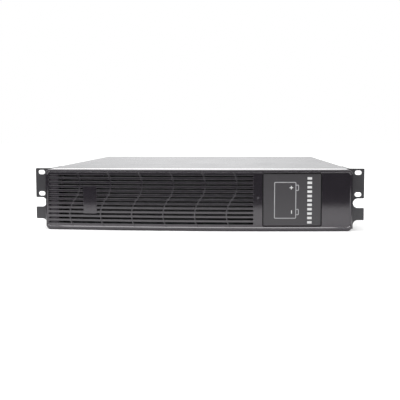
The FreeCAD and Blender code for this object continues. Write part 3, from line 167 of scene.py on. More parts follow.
class FinishSettings(bpy.types.PropertyGroup):
    """Colours of the large pieces"""
    bezel_colour: bpy.props.FloatVectorProperty(
        name="Bezel", description="Moulded bezel", subtype="COLOR", size=4, default=linear("#252227"))
    plate_colour: bpy.props.FloatVectorProperty(
        name="Plate", description="Film plate", subtype="COLOR", size=4, default=linear("#403e41"))
    case_colour: bpy.props.FloatVectorProperty(
        name="Case", description="Powder coat of the case", subtype="COLOR", size=4,
        default=linear("#404046"))
    ear_colour: bpy.props.FloatVectorProperty(
        name="Ears", description="Powder coat of the ears", subtype="COLOR", size=4,
        default=linear("#3f3e41"))


class StageSettings(bpy.types.PropertyGroup):
    """Camera and table"""
    camera_place: bpy.props.FloatVectorProperty(
        name="Camera", description="Where the camera stands", subtype="TRANSLATION", unit="LENGTH",
        default=(0.04952, -1.08922, 0.14096))
    camera_yaw: bpy.props.FloatProperty(
        name="Yaw", description="Camera turned to the left", subtype="ANGLE", default=0.05215)
    camera_pitch: bpy.props.FloatProperty(
        name="Pitch", description="Camera tipped down", subtype="ANGLE", default=0.06633)
    camera_roll: bpy.props.FloatProperty(
        name="Roll", description="Camera rolled", subtype="ANGLE", default=-0.00145)
    focal_pixels: bpy.props.FloatProperty(
        name="Focal length", description="Focal length in pixels of the square picture", default=608.21)
    axis_rise: bpy.props.FloatProperty(
        name="Axis rise", description="Lens axis above the middle of the picture, in pixels", default=27.44)
    table_reach: bpy.props.FloatProperty(
        name="Table in front", description="White table in front of the bezel", default=0.28, unit="LENGTH")
    table_half: bpy.props.FloatProperty(
        name="Table to each side", description="White table to each side of the middle", default=0.36,
        unit="LENGTH")


# Finishes
def lacquer_with_painted_shade(tree, place):
    """A switch that is 1 on the bezel's lacquered outside, and 0 behind its skin and on its foot edge.

    The outside lies in front of a bowed sheet a little behind the face, or in the rim's sides and top. The
    0 is painted shade: it takes the lacquer off the recesses behind the skin and off the foot edge by the
    table, so that they go dark as if shadowed.
    """
    bow_radius_mm = 2810.0
    # Painted shade: hollows deeper than this behind the face lose the lacquer and go dark
    skin_depth_mm = 2.4
    rim_depth_mm = 4.0
    # Painted shade: the bezel's lowest strip, this high, loses the lacquer so that it reads as a shadowed
    # edge
    shaded_foot_height_mm = 1.5
    low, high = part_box("front_bezel")
    spot = add_node(tree, "ShaderNodeSeparateXYZ", {"Vector": place})
    across, along, up = (spot.outputs[axis] for axis in "XYZ")
    square = add_node(tree, "ShaderNodeMath", {0: across, 1: across}, operation="MULTIPLY")
    sheet = add_node(tree, "ShaderNodeMath", {
        0: square.outputs["Value"], 1: 0.5 / (bow_radius_mm * MM), 2: low.y + skin_depth_mm * MM},
        operation="MULTIPLY_ADD")
    before = add_node(tree, "ShaderNodeMath", {0: sheet.outputs["Value"], 1: along}, operation="SUBTRACT")
    aside = add_node(tree, "ShaderNodeMath", {0: across}, operation="ABSOLUTE")
    flank = add_node(tree, "ShaderNodeMath", {
        0: aside.outputs["Value"], 1: high.x - rim_depth_mm * MM}, operation="SUBTRACT")
    roof = add_node(tree, "ShaderNodeMath", {0: up, 1: high.z - rim_depth_mm * MM}, operation="SUBTRACT")
    rim = add_node(tree, "ShaderNodeMath", {
        0: flank.outputs["Value"], 1: roof.outputs["Value"]}, operation="MAXIMUM")
    outside = add_node(tree, "ShaderNodeMath", {
        0: rim.outputs["Value"], 1: before.outputs["Value"]}, operation="MAXIMUM")
    above = add_node(tree, "ShaderNodeMath", {0: up, 1: low.z + shaded_foot_height_mm * MM}, operation="SUBTRACT")
    skin = add_node(tree, "ShaderNodeMath", {
        0: outside.outputs["Value"], 1: above.outputs["Value"]}, operation="MINIMUM")
    switch = add_node(tree, "ShaderNodeMath", {0: skin.outputs["Value"], 1: 0.0}, operation="GREATER_THAN")
    return switch.outputs["Value"]


def gloss_abs(colour):
    """Gloss ABS with a lacquered skin: near black, a clear reflection of the table, faint orange peel.

    Its edges look softened. Where the switch takes the lacquer off, in the recesses and on the foot edge,
    the surface is made dull and dark: painted shade.
    """
    peel_mm = 4.0
    haze_mm = 45.0
    edge_mm = 0.8
    # Painted shade: the dull roughness given to the unlacquered recesses and foot edge
    painted_shade_roughness = 0.5
    material, tree, shader = new_material(
        "gloss_abs_moulding", Base_Color=colour, IOR=1.5, Specular_Tint=linear("#fff7ff"),
        Coat_Roughness=0.06)
    place = place_of(tree)
    polish_and_painted_shade = lacquer_with_painted_shade(tree, place)
    haze = add_node(tree, "ShaderNodeTexNoise", {
        "Vector": place, "Scale": pattern_scale(haze_mm), "Detail": 3.0})
    gloss = add_node(tree, "ShaderNodeMapRange", {
        "Value": haze.outputs["Fac"], "To Min": 0.10, "To Max": 0.15})
    spread = add_node(tree, "ShaderNodeMapRange", {
        "Value": polish_and_painted_shade, "To Min": painted_shade_roughness, "To Max": gloss.outputs["Result"]})
    soft = add_node(tree, "ShaderNodeBevel", {"Radius": edge_mm * MM}, samples=8)
    peel = add_node(tree, "ShaderNodeTexNoise", {
        "Vector": place, "Scale": pattern_scale(peel_mm), "Detail": 1.0})
    bump = add_node(tree, "ShaderNodeBump", {
        "Height": peel.outputs["Fac"], "Strength": 0.02, "Distance": MM, "Normal": soft.outputs["Normal"]})
    # Painted shade: no lacquer reflection in the recesses and on the foot edge
    tree.links.new(polish_and_painted_shade, shader.inputs["Coat Weight"])
    tree.links.new(spread.outputs["Result"], shader.inputs["Roughness"])
    tree.links.new(bump.outputs["Normal"], shader.inputs["Normal"])
    tree.links.new(bump.outputs["Normal"], shader.inputs["Coat Normal"])
    return material


def matt_film(colour):
    """Matt polyester film: even dark grey with a soft sheen and a fine printed grain."""
    grain_mm = 0.9
    material, tree, shader = new_material("matt_polyester_film", Base_Color=colour, IOR=1.5)
    grain = add_node(tree, "ShaderNodeTexNoise", {
        "Vector": place_of(tree), "Scale": pattern_scale(grain_mm), "Detail": 2.0})
    spread = add_node(tree, "ShaderNodeMapRange", {
        "Value": grain.outputs["Fac"], "To Min": 0.26, "To Max": 0.34})
    bump = add_node(tree, "ShaderNodeBump", {
        "Height": grain.outputs["Fac"], "Strength": 0.08, "Distance": 0.1 * MM})
    tree.links.new(spread.outputs["Result"], shader.inputs["Roughness"])
    tree.links.new(bump.outputs["Normal"], shader.inputs["Normal"])
    return material


def powder_coat(name, colour, smooth, rough):
    """Baked powder coat on steel: dark, fine pebbled skin, pale where it is seen at a flat angle.

    The pebbles of the real coat are about 0.4 mm wide and are drawn coarser so that they show.
    """
    pebble_mm = 1.4
    patch_mm = 60.0
    material, tree, shader = new_material(name, Base_Color=colour, IOR=1.5)
    place = place_of(tree)
    pebble = add_node(tree, "ShaderNodeTexNoise", {
        "Vector": place, "Scale": pattern_scale(pebble_mm), "Detail": 2.0})
    patch = add_node(tree, "ShaderNodeTexNoise", {
        "Vector": place, "Scale": pattern_scale(patch_mm), "Detail": 2.0})
    spread = add_node(tree, "ShaderNodeMapRange", {
        "Value": patch.outputs["Fac"], "To Min": smooth, "To Max": rough})
    bump = add_node(tree, "ShaderNodeBump", {
        "Height": pebble.outputs["Fac"], "Strength": 0.008, "Distance": 0.2 * MM})
    tree.links.new(spread.outputs["Result"], shader.inputs["Roughness"])
    tree.links.new(bump.outputs["Normal"], shader.inputs["Normal"])
    return material


def screen_ink(name, colour):
    """Screen-printed ink: flat and chalky, a touch uneven where the mesh let it through."""
    mesh_mm = 0.8
    material, tree, shader = new_material(name, Base_Color=colour, IOR=1.5)
    weave = add_node(tree, "ShaderNodeTexNoise", {
        "Vector": place_of(tree), "Scale": pattern_scale(mesh_mm)})
    spread = add_node(tree, "ShaderNodeMapRange", {
        "Value": weave.outputs["Fac"], "To Min": 0.5, "To Max": 0.7})
    tree.links.new(spread.outputs["Result"], shader.inputs["Roughness"])
    return material


def galvanised_steel():
    """Weathered hot-dip galvanised sheet: dull dark grey metal with the leaf-shaped spangle of the zinc."""
    spangle_mm = 9.0
    material, tree, shader = new_material("galvanised_steel", Metallic=1.0)
    leaf = add_node(tree, "ShaderNodeTexVoronoi", {
        "Vector": place_of(tree), "Scale": pattern_scale(spangle_mm)})
    tone = add_node(tree, "ShaderNodeMix", {
        "Factor": leaf.outputs["Color"], MIX_A: linear("#4e5052"), MIX_B: linear("#686a6b")},
        data_type="RGBA")
    spread = add_node(tree, "ShaderNodeMapRange", {
        "Value": leaf.outputs["Color"], "To Min": 0.3, "To Max": 0.5})
    tree.links.new(tone.outputs[MIX_RESULT], shader.inputs["Base Color"])
    tree.links.new(spread.outputs["Result"], shader.inputs["Roughness"])
    return material


def black_zinc():
    """Black-passivated zinc on screws: dark metal with a brownish sheen and fine scuffs."""
    scuff_mm = 1.0
    material, tree, shader = new_material("black_zinc_screw", Metallic=1.0, Base_Color=linear("#4a4846"))
    scuff = add_node(tree, "ShaderNodeTexNoise", {
        "Vector": place_of(tree), "Scale": pattern_scale(scuff_mm), "Detail": 4.0})
    spread = add_node(tree, "ShaderNodeMapRange", {
        "Value": scuff.outputs["Fac"], "To Min": 0.28, "To Max": 0.5})
    tree.links.new(spread.outputs["Result"], shader.inputs["Roughness"])
    return material


def plated_brass():
    """Tin-plated brass: warm pale metal, dulled in patches."""
    patch_mm = 3.0
    material, tree, shader = new_material("plated_brass", Metallic=1.0, Base_Color=linear("#cdc6b2"))
    patch = add_node(tree, "ShaderNodeTexNoise", {
        "Vector": place_of(tree), "Scale": pattern_scale(patch_mm), "Detail": 3.0})
    spread = add_node(tree, "ShaderNodeMapRange", {
        "Value": patch.outputs["Fac"], "To Min": 0.22, "To Max": 0.42})
    tree.links.new(spread.outputs["Result"], shader.inputs["Roughness"])
    return material


def grained_plastic(name, colour, smooth=0.4, rough=0.6):
    """Spark-eroded moulding: matt plastic whose fine grain breaks up the light."""
    grain_mm = 0.7
    material, tree, shader = new_material(name, Base_Color=colour, IOR=1.5)
    grain = add_node(tree, "ShaderNodeTexNoise", {
        "Vector": place_of(tree), "Scale": pattern_scale(grain_mm), "Detail": 2.0})
    spread = add_node(tree, "ShaderNodeMapRange", {
        "Value": grain.outputs["Fac"], "To Min": smooth, "To Max": rough})
    bump = add_node(tree, "ShaderNodeBump", {
        "Height": grain.outputs["Fac"], "Strength": 0.15, "Distance": 0.1 * MM})
    tree.links.new(spread.outputs["Result"], shader.inputs["Roughness"])
    tree.links.new(bump.outputs["Normal"], shader.inputs["Normal"])
    return material


def smoked_acrylic():
    """Smoked acrylic over an unlit lamp: grey with a polished skin, a little cloudy inside."""
    cloud_mm = 1.5
    material, tree, shader = new_material("smoked_acrylic", Roughness=0.08, IOR=1.49)
    cloud = add_node(tree, "ShaderNodeTexNoise", {
        "Vector": place_of(tree), "Scale": pattern_scale(cloud_mm)})
    tone = add_node(tree, "ShaderNodeMix", {
        "Factor": cloud.outputs["Fac"], MIX_A: linear("#454347"), MIX_B: linear("#5a585c")},
        data_type="RGBA")
    tree.links.new(tone.outputs[MIX_RESULT], shader.inputs["Base Color"])
    return material


def groove_shade_rubber():
    """Moulded EPDM rubber: dull black that swallows the light, with a trace of pale bloom. Its near black
    is painted shade that darkens the groove round the plate as if in shadow.
    """
    bloom_mm = 5.0
    material, tree, shader = new_material("epdm_groove_shade_rubber", Roughness=0.8, IOR=1.4)
    bloom = add_node(tree, "ShaderNodeTexNoise", {
        "Vector": place_of(tree), "Scale": pattern_scale(bloom_mm), "Detail": 3.0})
    tone = add_node(tree, "ShaderNodeMix", {
        "Factor": bloom.outputs["Fac"], MIX_A: linear("#080808"), MIX_B: linear("#141414")},
        data_type="RGBA")
    tree.links.new(tone.outputs[MIX_RESULT], shader.inputs["Base Color"])
    return material


def cell_foam():
    """Closed-cell polyethylene foam: dull charcoal, skin dimpled by its cells."""
    cell_mm = 1.2
    material, tree, shader = new_material("polyethylene_foam", Base_Color=linear("#303030"), Roughness=0.9)
    cell = add_node(tree, "ShaderNodeTexVoronoi", {
        "Vector": place_of(tree), "Scale": pattern_scale(cell_mm)})
    bump = add_node(tree, "ShaderNodeBump", {
        "Height": cell.outputs["Distance"], "Strength": 0.4, "Distance": 0.3 * MM})
    tree.links.new(bump.outputs["Normal"], shader.inputs["Normal"])
    return material


def pvc_sheath(name, middle):
    """PVC wire sheath: satin plastic, black on the left of the wires' middle and red on the right."""
    material, tree, shader = new_material(name, Roughness=0.42, IOR=1.53)
    spot = add_node(tree, "ShaderNodeSeparateXYZ", {"Vector": place_of(tree)})
    side = add_node(tree, "ShaderNodeMath", {0: spot.outputs["X"], 1: middle}, operation="GREATER_THAN")
    tone = add_node(tree, "ShaderNodeMix", {
        "Factor": side.outputs["Value"], MIX_A: linear("#1b1b1b"), MIX_B: linear("#a3150f")},
        data_type="RGBA")
    tree.links.new(tone.outputs[MIX_RESULT], shader.inputs["Base Color"])
    return material


def laminate_board():
    """Glass-epoxy board under green solder resist: semi-gloss, with the weave of the glass just showing.

    The real weave is finer and is drawn coarser so that it shows.
    """
    weave_mm = 6.2832
    # The wave repeats every tau / 20 at a scale of 1
    wave_period = math.tau / 20
    material, tree, shader = new_material("glass_epoxy_board", Base_Color=linear("#1f5a33"), Roughness=0.32)
    weave = add_node(tree, "ShaderNodeTexWave", {
        "Vector": place_of(tree), "Scale": pattern_scale(weave_mm) * wave_period})
    bump = add_node(tree, "ShaderNodeBump", {
        "Height": weave.outputs["Fac"], "Strength": 0.1, "Distance": 0.05 * MM})
    tree.links.new(bump.outputs["Normal"], shader.inputs["Normal"])
    return material


# Operators, one for each piece or group of like pieces
class PACK_OT_case(bpy.types.Operator):
    """Coats the case, its cover and its back panel"""
    bl_idname = "pack.case"
    bl_label = "Case"

    def execute(self, context):
        colour = context.scene.pack_finish.case_colour
        coat = powder_coat("powder_coat_case", colour, smooth=0.14, rough=0.20)
        for node in ("chassis_tray", "top_cover", "rear_panel"):
            dress(node, coat)
        return {"FINISHED"}


class PACK_OT_ears(bpy.types.Operator):
    """Coats the rack ears"""
    bl_idname = "pack.ears"
    bl_label = "Rack ears"

    def execute(self, context):
        colour = context.scene.pack_finish.ear_colour
        coat = powder_coat("powder_coat_ears", colour, smooth=0.22, rough=0.30)
        for node in ("rack_ear_left", "rack_ear_right"):
            dress(node, coat)
        return {"FINISHED"}


class PACK_OT_bezel(bpy.types.Operator):
    """Finishes the moulded bezel, the plate and its seal, and the lens"""
    bl_idname = "pack.bezel"
    bl_label = "Bezel and plate"

    def execute(self, context):
        finish = context.scene.pack_finish
        dress("front_bezel", gloss_abs(finish.bezel_colour))
        dress("icon_plate", matt_film(finish.plate_colour))
        # Painted shade: the seal's near black darkens the groove round the plate
        dress("plate_gasket", groove_shade_rubber())
        dress("status_lens", smoked_acrylic())
        return {"FINISHED"}


class PACK_OT_pictogram(bpy.types.Operator):
    """Prints the battery sign and the bars on the plate"""
    bl_idname = "pack.pictogram"
    bl_label = "Pictogram"

    # Places on the plate, in millimetres from its left edge and its bottom; boxes go left, low, right, high
    SIGN = (15.1, 10.0, 46.4, 62.3)
    BARS = (62.1, 2.9, 68.6, 69.1)
    TERMINALS = ((15.0, 23.8), (49.7, 58.4))
    PLUS = (39.4, 54.2)
    MINUS = (39.9, 19.4)
    # Lengths in millimetres, and the share of a bar in the pitch of the bars
    CORNER = 1.7
    TERMINAL_REACH = 3.8
    SYMBOL = 4.9
    BAR_SHARE = 0.56
    STEP = 3.0
    ARC_STEPS = 6

    def slab(self, mesh, pairs, closed=False):
        """A thin inked band on the bowed plate between two lines, given as pairs of places.

        A row of the band has four corners: front and back on the first line, then on the second.
        """
        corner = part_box("icon_plate")[0]
        rows = []
        for pair in pairs:
            ends = []
            for x, z in pair:
                spot = Vector((corner.x + x * MM, 0.0, corner.z + z * MM))
                face = self.front(spot.x, spot.z)
                ends += [mesh.verts.new((spot.x, face + depth, spot.z)) for depth in (-self.ink, self.ink)]
            rows.append(ends)
        steps = list(zip(rows, rows[1:]))
        if closed:
            steps.append((rows[-1], rows[0]))
        else:
            for ends in (rows[0], rows[-1]):
                mesh.faces.new([ends[place] for place in (0, 2, 3, 1)])
        for first, second in steps:
            for start, end in ((0, 2), (2, 3), (3, 1), (1, 0)):
                mesh.faces.new((first[start], first[end], second[end], second[start]))

    def strip(self, mesh, left, low, right, high):
        """One bar, cut across often enough to follow the bow."""
        count = max(1, math.ceil((right - left) / self.STEP))
        places = [left + (right - left) * number / count for number in range(count + 1)]
        self.slab(mesh, [((x, low), (x, high)) for x in places])

    def outline(self, mesh, left, low, right, high, line, open_left=False):
        """A line round a box with rounded corners, or round its right side only."""
        reach = self.CORNER
        corners = [(right - reach, low + reach, -90), (right - reach, high - reach, 0)]
        if not open_left:
            corners += [(left + reach, high - reach, 90), (left + reach, low + reach, 180)]
        pairs = []
        for x, z, turn in corners:
            for step in range(self.ARC_STEPS + 1):
                angle = math.radians(turn + 90 * step / self.ARC_STEPS)
                ray = (math.cos(angle), math.sin(angle))
                pairs.append([(x + ray[0] * size, z + ray[1] * size) for size in (reach, reach - line)])
        if open_left:
            pairs = [((left, low), (left, low + line)), *pairs, ((left, high), (left, high - line))]
        else:
            pairs = self.filled(pairs)
        self.slab(mesh, pairs, not open_left)

    def filled(self, pairs):
        """The pairs of a closed line with more of them along its long sides, to follow the bow."""
        full = []
        for pair, following in zip(pairs, pairs[1:] + pairs[:1]):
            span = math.dist(pair[0], following[0])
            count = max(1, math.ceil(span / self.STEP))
            for number in range(count):
                share = number / count
                full.append([[a + (b - a) * share for a, b in zip(one, two)]
                             for one, two in zip(pair, following)])
        return full

    def piece(self, name, mesh, material):
        """Turns a finished print into a piece of the pack."""
        bmesh.ops.recalc_face_normals(mesh, faces=mesh.faces)
        data = bpy.data.meshes.new(name)
        mesh.to_mesh(data)
        mesh.free()
        add_piece(name, data, material)

    def battery_sign(self, line):
        """The outline of a battery with its two terminals on the right."""
        mesh = bmesh.new()
        left, low, right, high = self.SIGN
        self.outline(mesh, left, low, right, high, line)
        for start, end in self.TERMINALS:
            self.outline(mesh, right, start, right + self.TERMINAL_REACH, end, line, open_left=True)
        return mesh

    def pole_signs(self, line):
        """A plus, as one bar and two stubs, and an upright minus."""
        mesh = bmesh.new()
        half = self.SYMBOL / 2
        x, z = self.PLUS
        self.strip(mesh, x - half, z - line / 2, x + half, z + line / 2)
        self.strip(mesh, x - line / 2, z + line / 2, x + line / 2, z + half)
        self.strip(mesh, x - line / 2, z - half, x + line / 2, z - line / 2)
        x, z = self.MINUS
        self.strip(mesh, x - line / 2, z - half, x + line / 2, z + half)
        return mesh

    def level_bars(self, count):
        """A column of short bars."""
        mesh = bmesh.new()
        left, low, right, high = self.BARS
        pitch = (high - low) / (count - 1 + self.BAR_SHARE)
        for number in range(count):
            start = low + number * pitch
            self.strip(mesh, left, start, right, start + pitch * self.BAR_SHARE)
        return mesh

    def execute(self, context):
        settings = context.scene.pack_print
        self.front = front_of("icon_plate")
        self.ink = settings.ink_height
        line = settings.line_width / MM
        grey = screen_ink("grey_screen_ink", settings.line_colour)
        white = screen_ink("white_screen_ink", settings.ink_colour)
        self.piece("battery_sign", self.battery_sign(line), grey)
        self.piece("pole_signs", self.pole_signs(line), white)
        self.piece("level_bars", self.level_bars(settings.bar_count), white)
        return {"FINISHED"}


class PACK_OT_fasteners(bpy.types.Operator):
    """Finishes the screws, the ground stud, the standoffs and the contacts"""
    bl_idname = "pack.fasteners"
    bl_label = "Fasteners"

    def execute(self, context):
        zinc = black_zinc()
        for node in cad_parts:
            if "_screws" in node:
                dress(node, zinc)
        brass = plated_brass()
        for node in ("ground_stud", "ground_nut", "board_standoffs", "dc_contacts_1", "dc_contacts_2"):
            dress(node, brass)
        return {"FINISHED"}


class PACK_OT_batteries(bpy.types.Operator):
    """Finishes the battery blocks, their trays, straps and foam"""
    bl_idname = "pack.batteries"
    bl_label = "Batteries and trays"

    def execute(self, context):
        case = grained_plastic("abs_battery_case", linear("#3c3f45"))
        zinc = galvanised_steel()
        foam = cell_foam()
        coat = powder_coat("black_retainer_coat", linear("#3a3a3b"), smooth=0.5, rough=0.6)
        dress("battery_retainer", coat)
        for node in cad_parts:
            if node.startswith("battery_") and node[len("battery_"):].isdigit():
                dress(node, case)
            elif node.startswith(("battery_tray", "hold_down_strap", "tray_")):
                dress(node, zinc)
            elif node.startswith("foam_strip"):
                dress(node, foam)
        return {"FINISHED"}


class PACK_OT_wiring(bpy.types.Operator):
    """Finishes the leads, the jumpers, the fuse board and what is on it"""
    bl_idname = "pack.wiring"
    bl_label = "Wiring"

    def execute(self, context):
        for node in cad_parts:
            if node.startswith(("pack_leads", "socket_leads", "series_jumpers")):
                low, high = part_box(node)
                dress(node, pvc_sheath(f"pvc_{node}", (low.x + high.x) / 2))
        dress("fuse_board", laminate_board())
        dress("terminal_blocks", grained_plastic("pbt_terminal_block", linear("#2f7d4a")))
        dress("fuse_links", grained_plastic("ceramic_fuse", linear("#d8d2c4"), smooth=0.25, rough=0.4))
        return {"FINISHED"}


class PACK_OT_sockets(bpy.types.Operator):
    """Finishes the two battery sockets"""
    bl_idname = "pack.sockets"
    bl_label = "Sockets"

    def execute(self, context):
        body = grained_plastic("pbt_socket", linear("#262628"))
        for node in ("dc_socket_1", "dc_socket_2"):
            dress(node, body)
        return {"FINISHED"}


class PACK_OT_stage(bpy.types.Operator):
    """Sets the camera, the white table, the lamps and the world"""
    bl_idname = "pack.stage"
    bl_label = "Stage"

    CLIP_START = 0.01
    # The table, and what the camera sees of it: a shade, and a glow that grows away from the pack
    FLOOR_SIZE = 12.0
    FLOOR_PAINT = 0.85
    FLOOR_SHADE = 0.74
    FLOOR_GLOW = (0.30, 0.7)
    GLOW_REACH = (0.45, 1.5)
    # What mirrors see: the table's soft edge before a dim room, and a backdrop that dims with the sideways
    # part of the direction
    EDGE_BLUR = 0.04
    ROOM_LEVEL = 0.04
    BACKDROP_MIDDLE = -0.07
    BACKDROP_REACH = (0.05, 0.25)
    BACKDROP_SIDES = 0.83
    # The world as light
    WORLD_FILL = 0.55
    # Name, place, size across and along, watts, what it looks at
    LAMPS = (
        ("top_box", (-0.06, 0.12, 1.0), 1.02, 1.25, 14.0, (-0.06, 0.12, 0.0)),
        ("left_key", (-0.95, -0.65, 1.2), 0.62, 0.62, 7.0, (0.1, -0.2, 0.0)),
        ("right_key", (0.75, -0.72, 1.2), 0.4, 0.4, 3.0, (-0.2, -0.2, 0.0)),
        ("front_fill", (-0.9, -1.6, 1.1), 1.0, 1.0, 3.5, (0.0, 0.0, 0.05)),
        ("back_strip", (-0.3, 3.0, 0.295), 4.0, 0.05, 0.30, (-0.3, -0.2, 0.088)),
    )

    def camera(self, scene, stage):
        """The camera, placed and turned by the settings, its lens axis above the middle of the picture."""
        yaw, pitch, roll = stage.camera_yaw, stage.camera_pitch, stage.camera_roll
        ahead = Vector((-math.sin(yaw), math.cos(yaw), 0.0))
        forward = math.cos(pitch) * ahead - Vector((0.0, 0.0, math.sin(pitch)))
        level = Vector((math.cos(yaw), math.sin(yaw), 0.0))
        above = level.cross(forward)
        right = math.cos(roll) * level + math.sin(roll) * above
        up = math.cos(roll) * above - math.sin(roll) * level
        turn = Matrix((right, up, -forward)).transposed()
        data = bpy.data.cameras.new("photo_camera")
        data.sensor_width = SENSOR_WIDTH
        data.lens = stage.focal_pixels / FRAME_PIXELS * SENSOR_WIDTH
        data.shift_y = -stage.axis_rise / FRAME_PIXELS
        data.clip_start = self.CLIP_START
        camera = bpy.data.objects.new("photo_camera", data)
        camera.matrix_world = Matrix.Translation(stage.camera_place) @ turn.to_4x4()
        scene.collection.objects.link(camera)
        scene.camera = camera

    def lamp(self, scene, name, place, across, along, watts, target):
        """One flat lamp that looks at a target."""
        data = bpy.data.lights.new(name, "AREA")
        data.shape = "RECTANGLE"
        data.size = across
        data.size_y = along
        data.energy = watts
        lamp = bpy.data.objects.new(name, data)
        lamp.location = place
        lamp.rotation_euler = (Vector(target) - Vector(place)).to_track_quat("-Z", "Y").to_euler()
        scene.collection.objects.link(lamp)

    def table(self, scene, material):
        """The table that the pack stands on."""
        half = self.FLOOR_SIZE / 2
        corners = [(-half, -half, 0.0), (half, -half, 0.0), (half, half, 0.0), (-half, half, 0.0)]
        mesh = bpy.data.meshes.new("table")
        mesh.from_pydata(corners, [], [(0, 1, 2, 3)])
        mesh.materials.append(material)
        sheet = bpy.data.objects.new("table", mesh)
        scene.collection.objects.link(sheet)

    def rays(self, tree):
        """Two switches: a ray from the camera or through a clear piece, and a ray from a mirror."""
        path = add_node(tree, "ShaderNodeLightPath")
        straight = add_node(tree, "ShaderNodeMath", {
            0: path.outputs["Is Camera Ray"], 1: path.outputs["Is Transmission Ray"]}, operation="MAXIMUM")
        return straight.outputs["Value"], path.outputs["Is Glossy Ray"]

    def white_table(self, edge, half):
        """White table: glows to the camera, less near the pack, so that a soft shadow shows there.

        Mirrors see it end before a dim room.
        """
        material = bpy.data.materials.new("white_table")
        material.use_nodes = True
        tree = material.node_tree
        tree.nodes.clear()
        blur = self.EDGE_BLUR
        straight, mirrored = self.rays(tree)
        place = add_node(tree, "ShaderNodeNewGeometry").outputs["Position"]
        spot = add_node(tree, "ShaderNodeSeparateXYZ", {"Vector": place})
        aside = add_node(tree, "ShaderNodeMath", {0: spot.outputs["X"]}, operation="ABSOLUTE")
        near = add_node(tree, "ShaderNodeMapRange", {
            "Value": spot.outputs["Y"], "From Min": edge - blur, "From Max": edge + blur,
            "To Min": self.ROOM_LEVEL, "To Max": 1.0})
        within = add_node(tree, "ShaderNodeMapRange", {
            "Value": aside.outputs["Value"], "From Min": half - blur, "From Max": half + blur,
            "To Min": 1.0, "To Max": self.ROOM_LEVEL})
        white = add_node(tree, "ShaderNodeMath", {
            0: near.outputs["Result"], 1: within.outputs["Result"]}, operation="MINIMUM")
        tint = add_node(tree, "ShaderNodeMix", {"Factor": mirrored, "A": 1.0, "B": white.outputs["Value"]})
        paint = add_node(tree, "ShaderNodeMath", {
            0: tint.outputs["Result"], 1: self.FLOOR_PAINT}, operation="MULTIPLY")
        grey = add_node(tree, "ShaderNodeMix", {
            "Factor": straight, "A": paint.outputs["Value"], "B": self.FLOOR_SHADE})
        away = add_node(tree, "ShaderNodeVectorMath", {0: place}, operation="LENGTH")
        ring = add_node(tree, "ShaderNodeMapRange", {
            "Value": away.outputs["Value"], "From Min": self.GLOW_REACH[0], "From Max": self.GLOW_REACH[1],
            "To Min": self.FLOOR_GLOW[0], "To Max": self.FLOOR_GLOW[1]})
        glow = add_node(tree, "ShaderNodeMath", {
            0: straight, 1: ring.outputs["Result"]}, operation="MULTIPLY")
        light = add_node(tree, "ShaderNodeEmission", {
            "Color": linear("#ffffff"), "Strength": glow.outputs["Value"]})
        matt = add_node(tree, "ShaderNodeBsdfDiffuse", {"Color": grey.outputs["Result"]})
        both = add_node(tree, "ShaderNodeAddShader", {
            0: light.outputs["Emission"], 1: matt.outputs["BSDF"]})
        add_node(tree, "ShaderNodeOutputMaterial", {"Surface": both.outputs["Shader"]})
        return material

    def world(self, scene):
        """White to the camera, white dimming to both sides to mirrors, a softer level as light."""
        world = bpy.data.worlds.new("white_studio")
        world.use_nodes = True
        tree = world.node_tree
        tree.nodes.clear()
        straight, mirrored = self.rays(tree)
        direction = add_node(tree, "ShaderNodeTexCoord").outputs["Generated"]
        way = add_node(tree, "ShaderNodeSeparateXYZ", {"Vector": direction})
        off = add_node(tree, "ShaderNodeMath", {
            0: way.outputs["X"], 1: self.BACKDROP_MIDDLE}, operation="SUBTRACT")
        aside = add_node(tree, "ShaderNodeMath", {0: off.outputs["Value"]}, operation="ABSOLUTE")
        fall = add_node(tree, "ShaderNodeMapRange", {
            "Value": aside.outputs["Value"], "From Min": self.BACKDROP_REACH[0],
            "From Max": self.BACKDROP_REACH[1], "To Min": 1.0, "To Max": self.BACKDROP_SIDES})
        mirror = add_node(tree, "ShaderNodeMix", {
            "Factor": mirrored, "A": self.WORLD_FILL, "B": fall.outputs["Result"]})
        level = add_node(tree, "ShaderNodeMix", {
            "Factor": straight, "A": mirror.outputs["Result"], "B": 1.0})
        sky = add_node(tree, "ShaderNodeBackground", {
            "Color": linear("#ffffff"), "Strength": level.outputs["Result"]})
        add_node(tree, "ShaderNodeOutputWorld", {"Surface": sky.outputs["Background"]})
        scene.world = world

    def execute(self, context):
        scene = context.scene
        stage = scene.pack_stage
        scene.view_settings.view_transform = "Standard"
        self.camera(scene, stage)
        edge = CAD_BOX[0].y - stage.table_reach
        self.table(scene, self.white_table(edge, stage.table_half))
        for settings in self.LAMPS:
            self.lamp(scene, *settings)
        self.world(scene)
        return {"FINISHED"}


class PACK_PT_sidebar(bpy.types.Panel):
    """Lists the pieces and their settings"""
    bl_idname = "PACK_PT_sidebar"
    bl_label = "Battery pack"
    bl_space_type = "VIEW_3D"
    bl_region_type = "UI"
    bl_category = "Battery pack"

    def draw(self, context):
        for operator in OPERATORS:
            self.layout.operator(operator.bl_idname)
        for name, group in SETTINGS.items():
            column = self.layout.column()
            for setting in group.__annotations__:
                column.prop(getattr(context.scene, name), setting)


SETTINGS = {"pack_print": PrintSettings, "pack_finish": FinishSettings, "pack_stage": StageSettings}
OPERATORS = (
    PACK_OT_case, PACK_OT_ears, PACK_OT_bezel, PACK_OT_pictogram, PACK_OT_fasteners,
    PACK_OT_batteries, PACK_OT_wiring, PACK_OT_sockets, PACK_OT_stage,
)
CLASSES = (*SETTINGS.values(), *OPERATORS, PACK_PT_sidebar)


def register():
    for kind in CLASSES:
        bpy.utils.register_class(kind)
    for name, group in SETTINGS.items():
        setattr(bpy.types.Scene, name, bpy.props.PointerProperty(type=group))


def unregister():
    for name in SETTINGS:
        delattr(bpy.types.Scene, name)
    for kind in reversed(CLASSES):
        bpy.utils.unregister_class(kind)


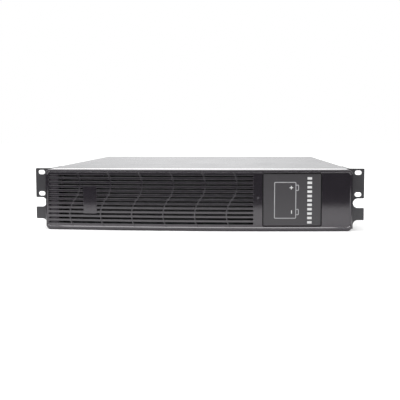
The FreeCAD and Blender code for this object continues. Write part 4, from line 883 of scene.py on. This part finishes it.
def main():
    register()
    bpy.ops.pack.case()
    bpy.ops.pack.ears()
    bpy.ops.pack.bezel()
    bpy.ops.pack.pictogram()
    bpy.ops.pack.fasteners()
    bpy.ops.pack.batteries()
    bpy.ops.pack.wiring()
    bpy.ops.pack.sockets()
    bpy.ops.pack.stage()


if __name__ == "__main__":
    main()
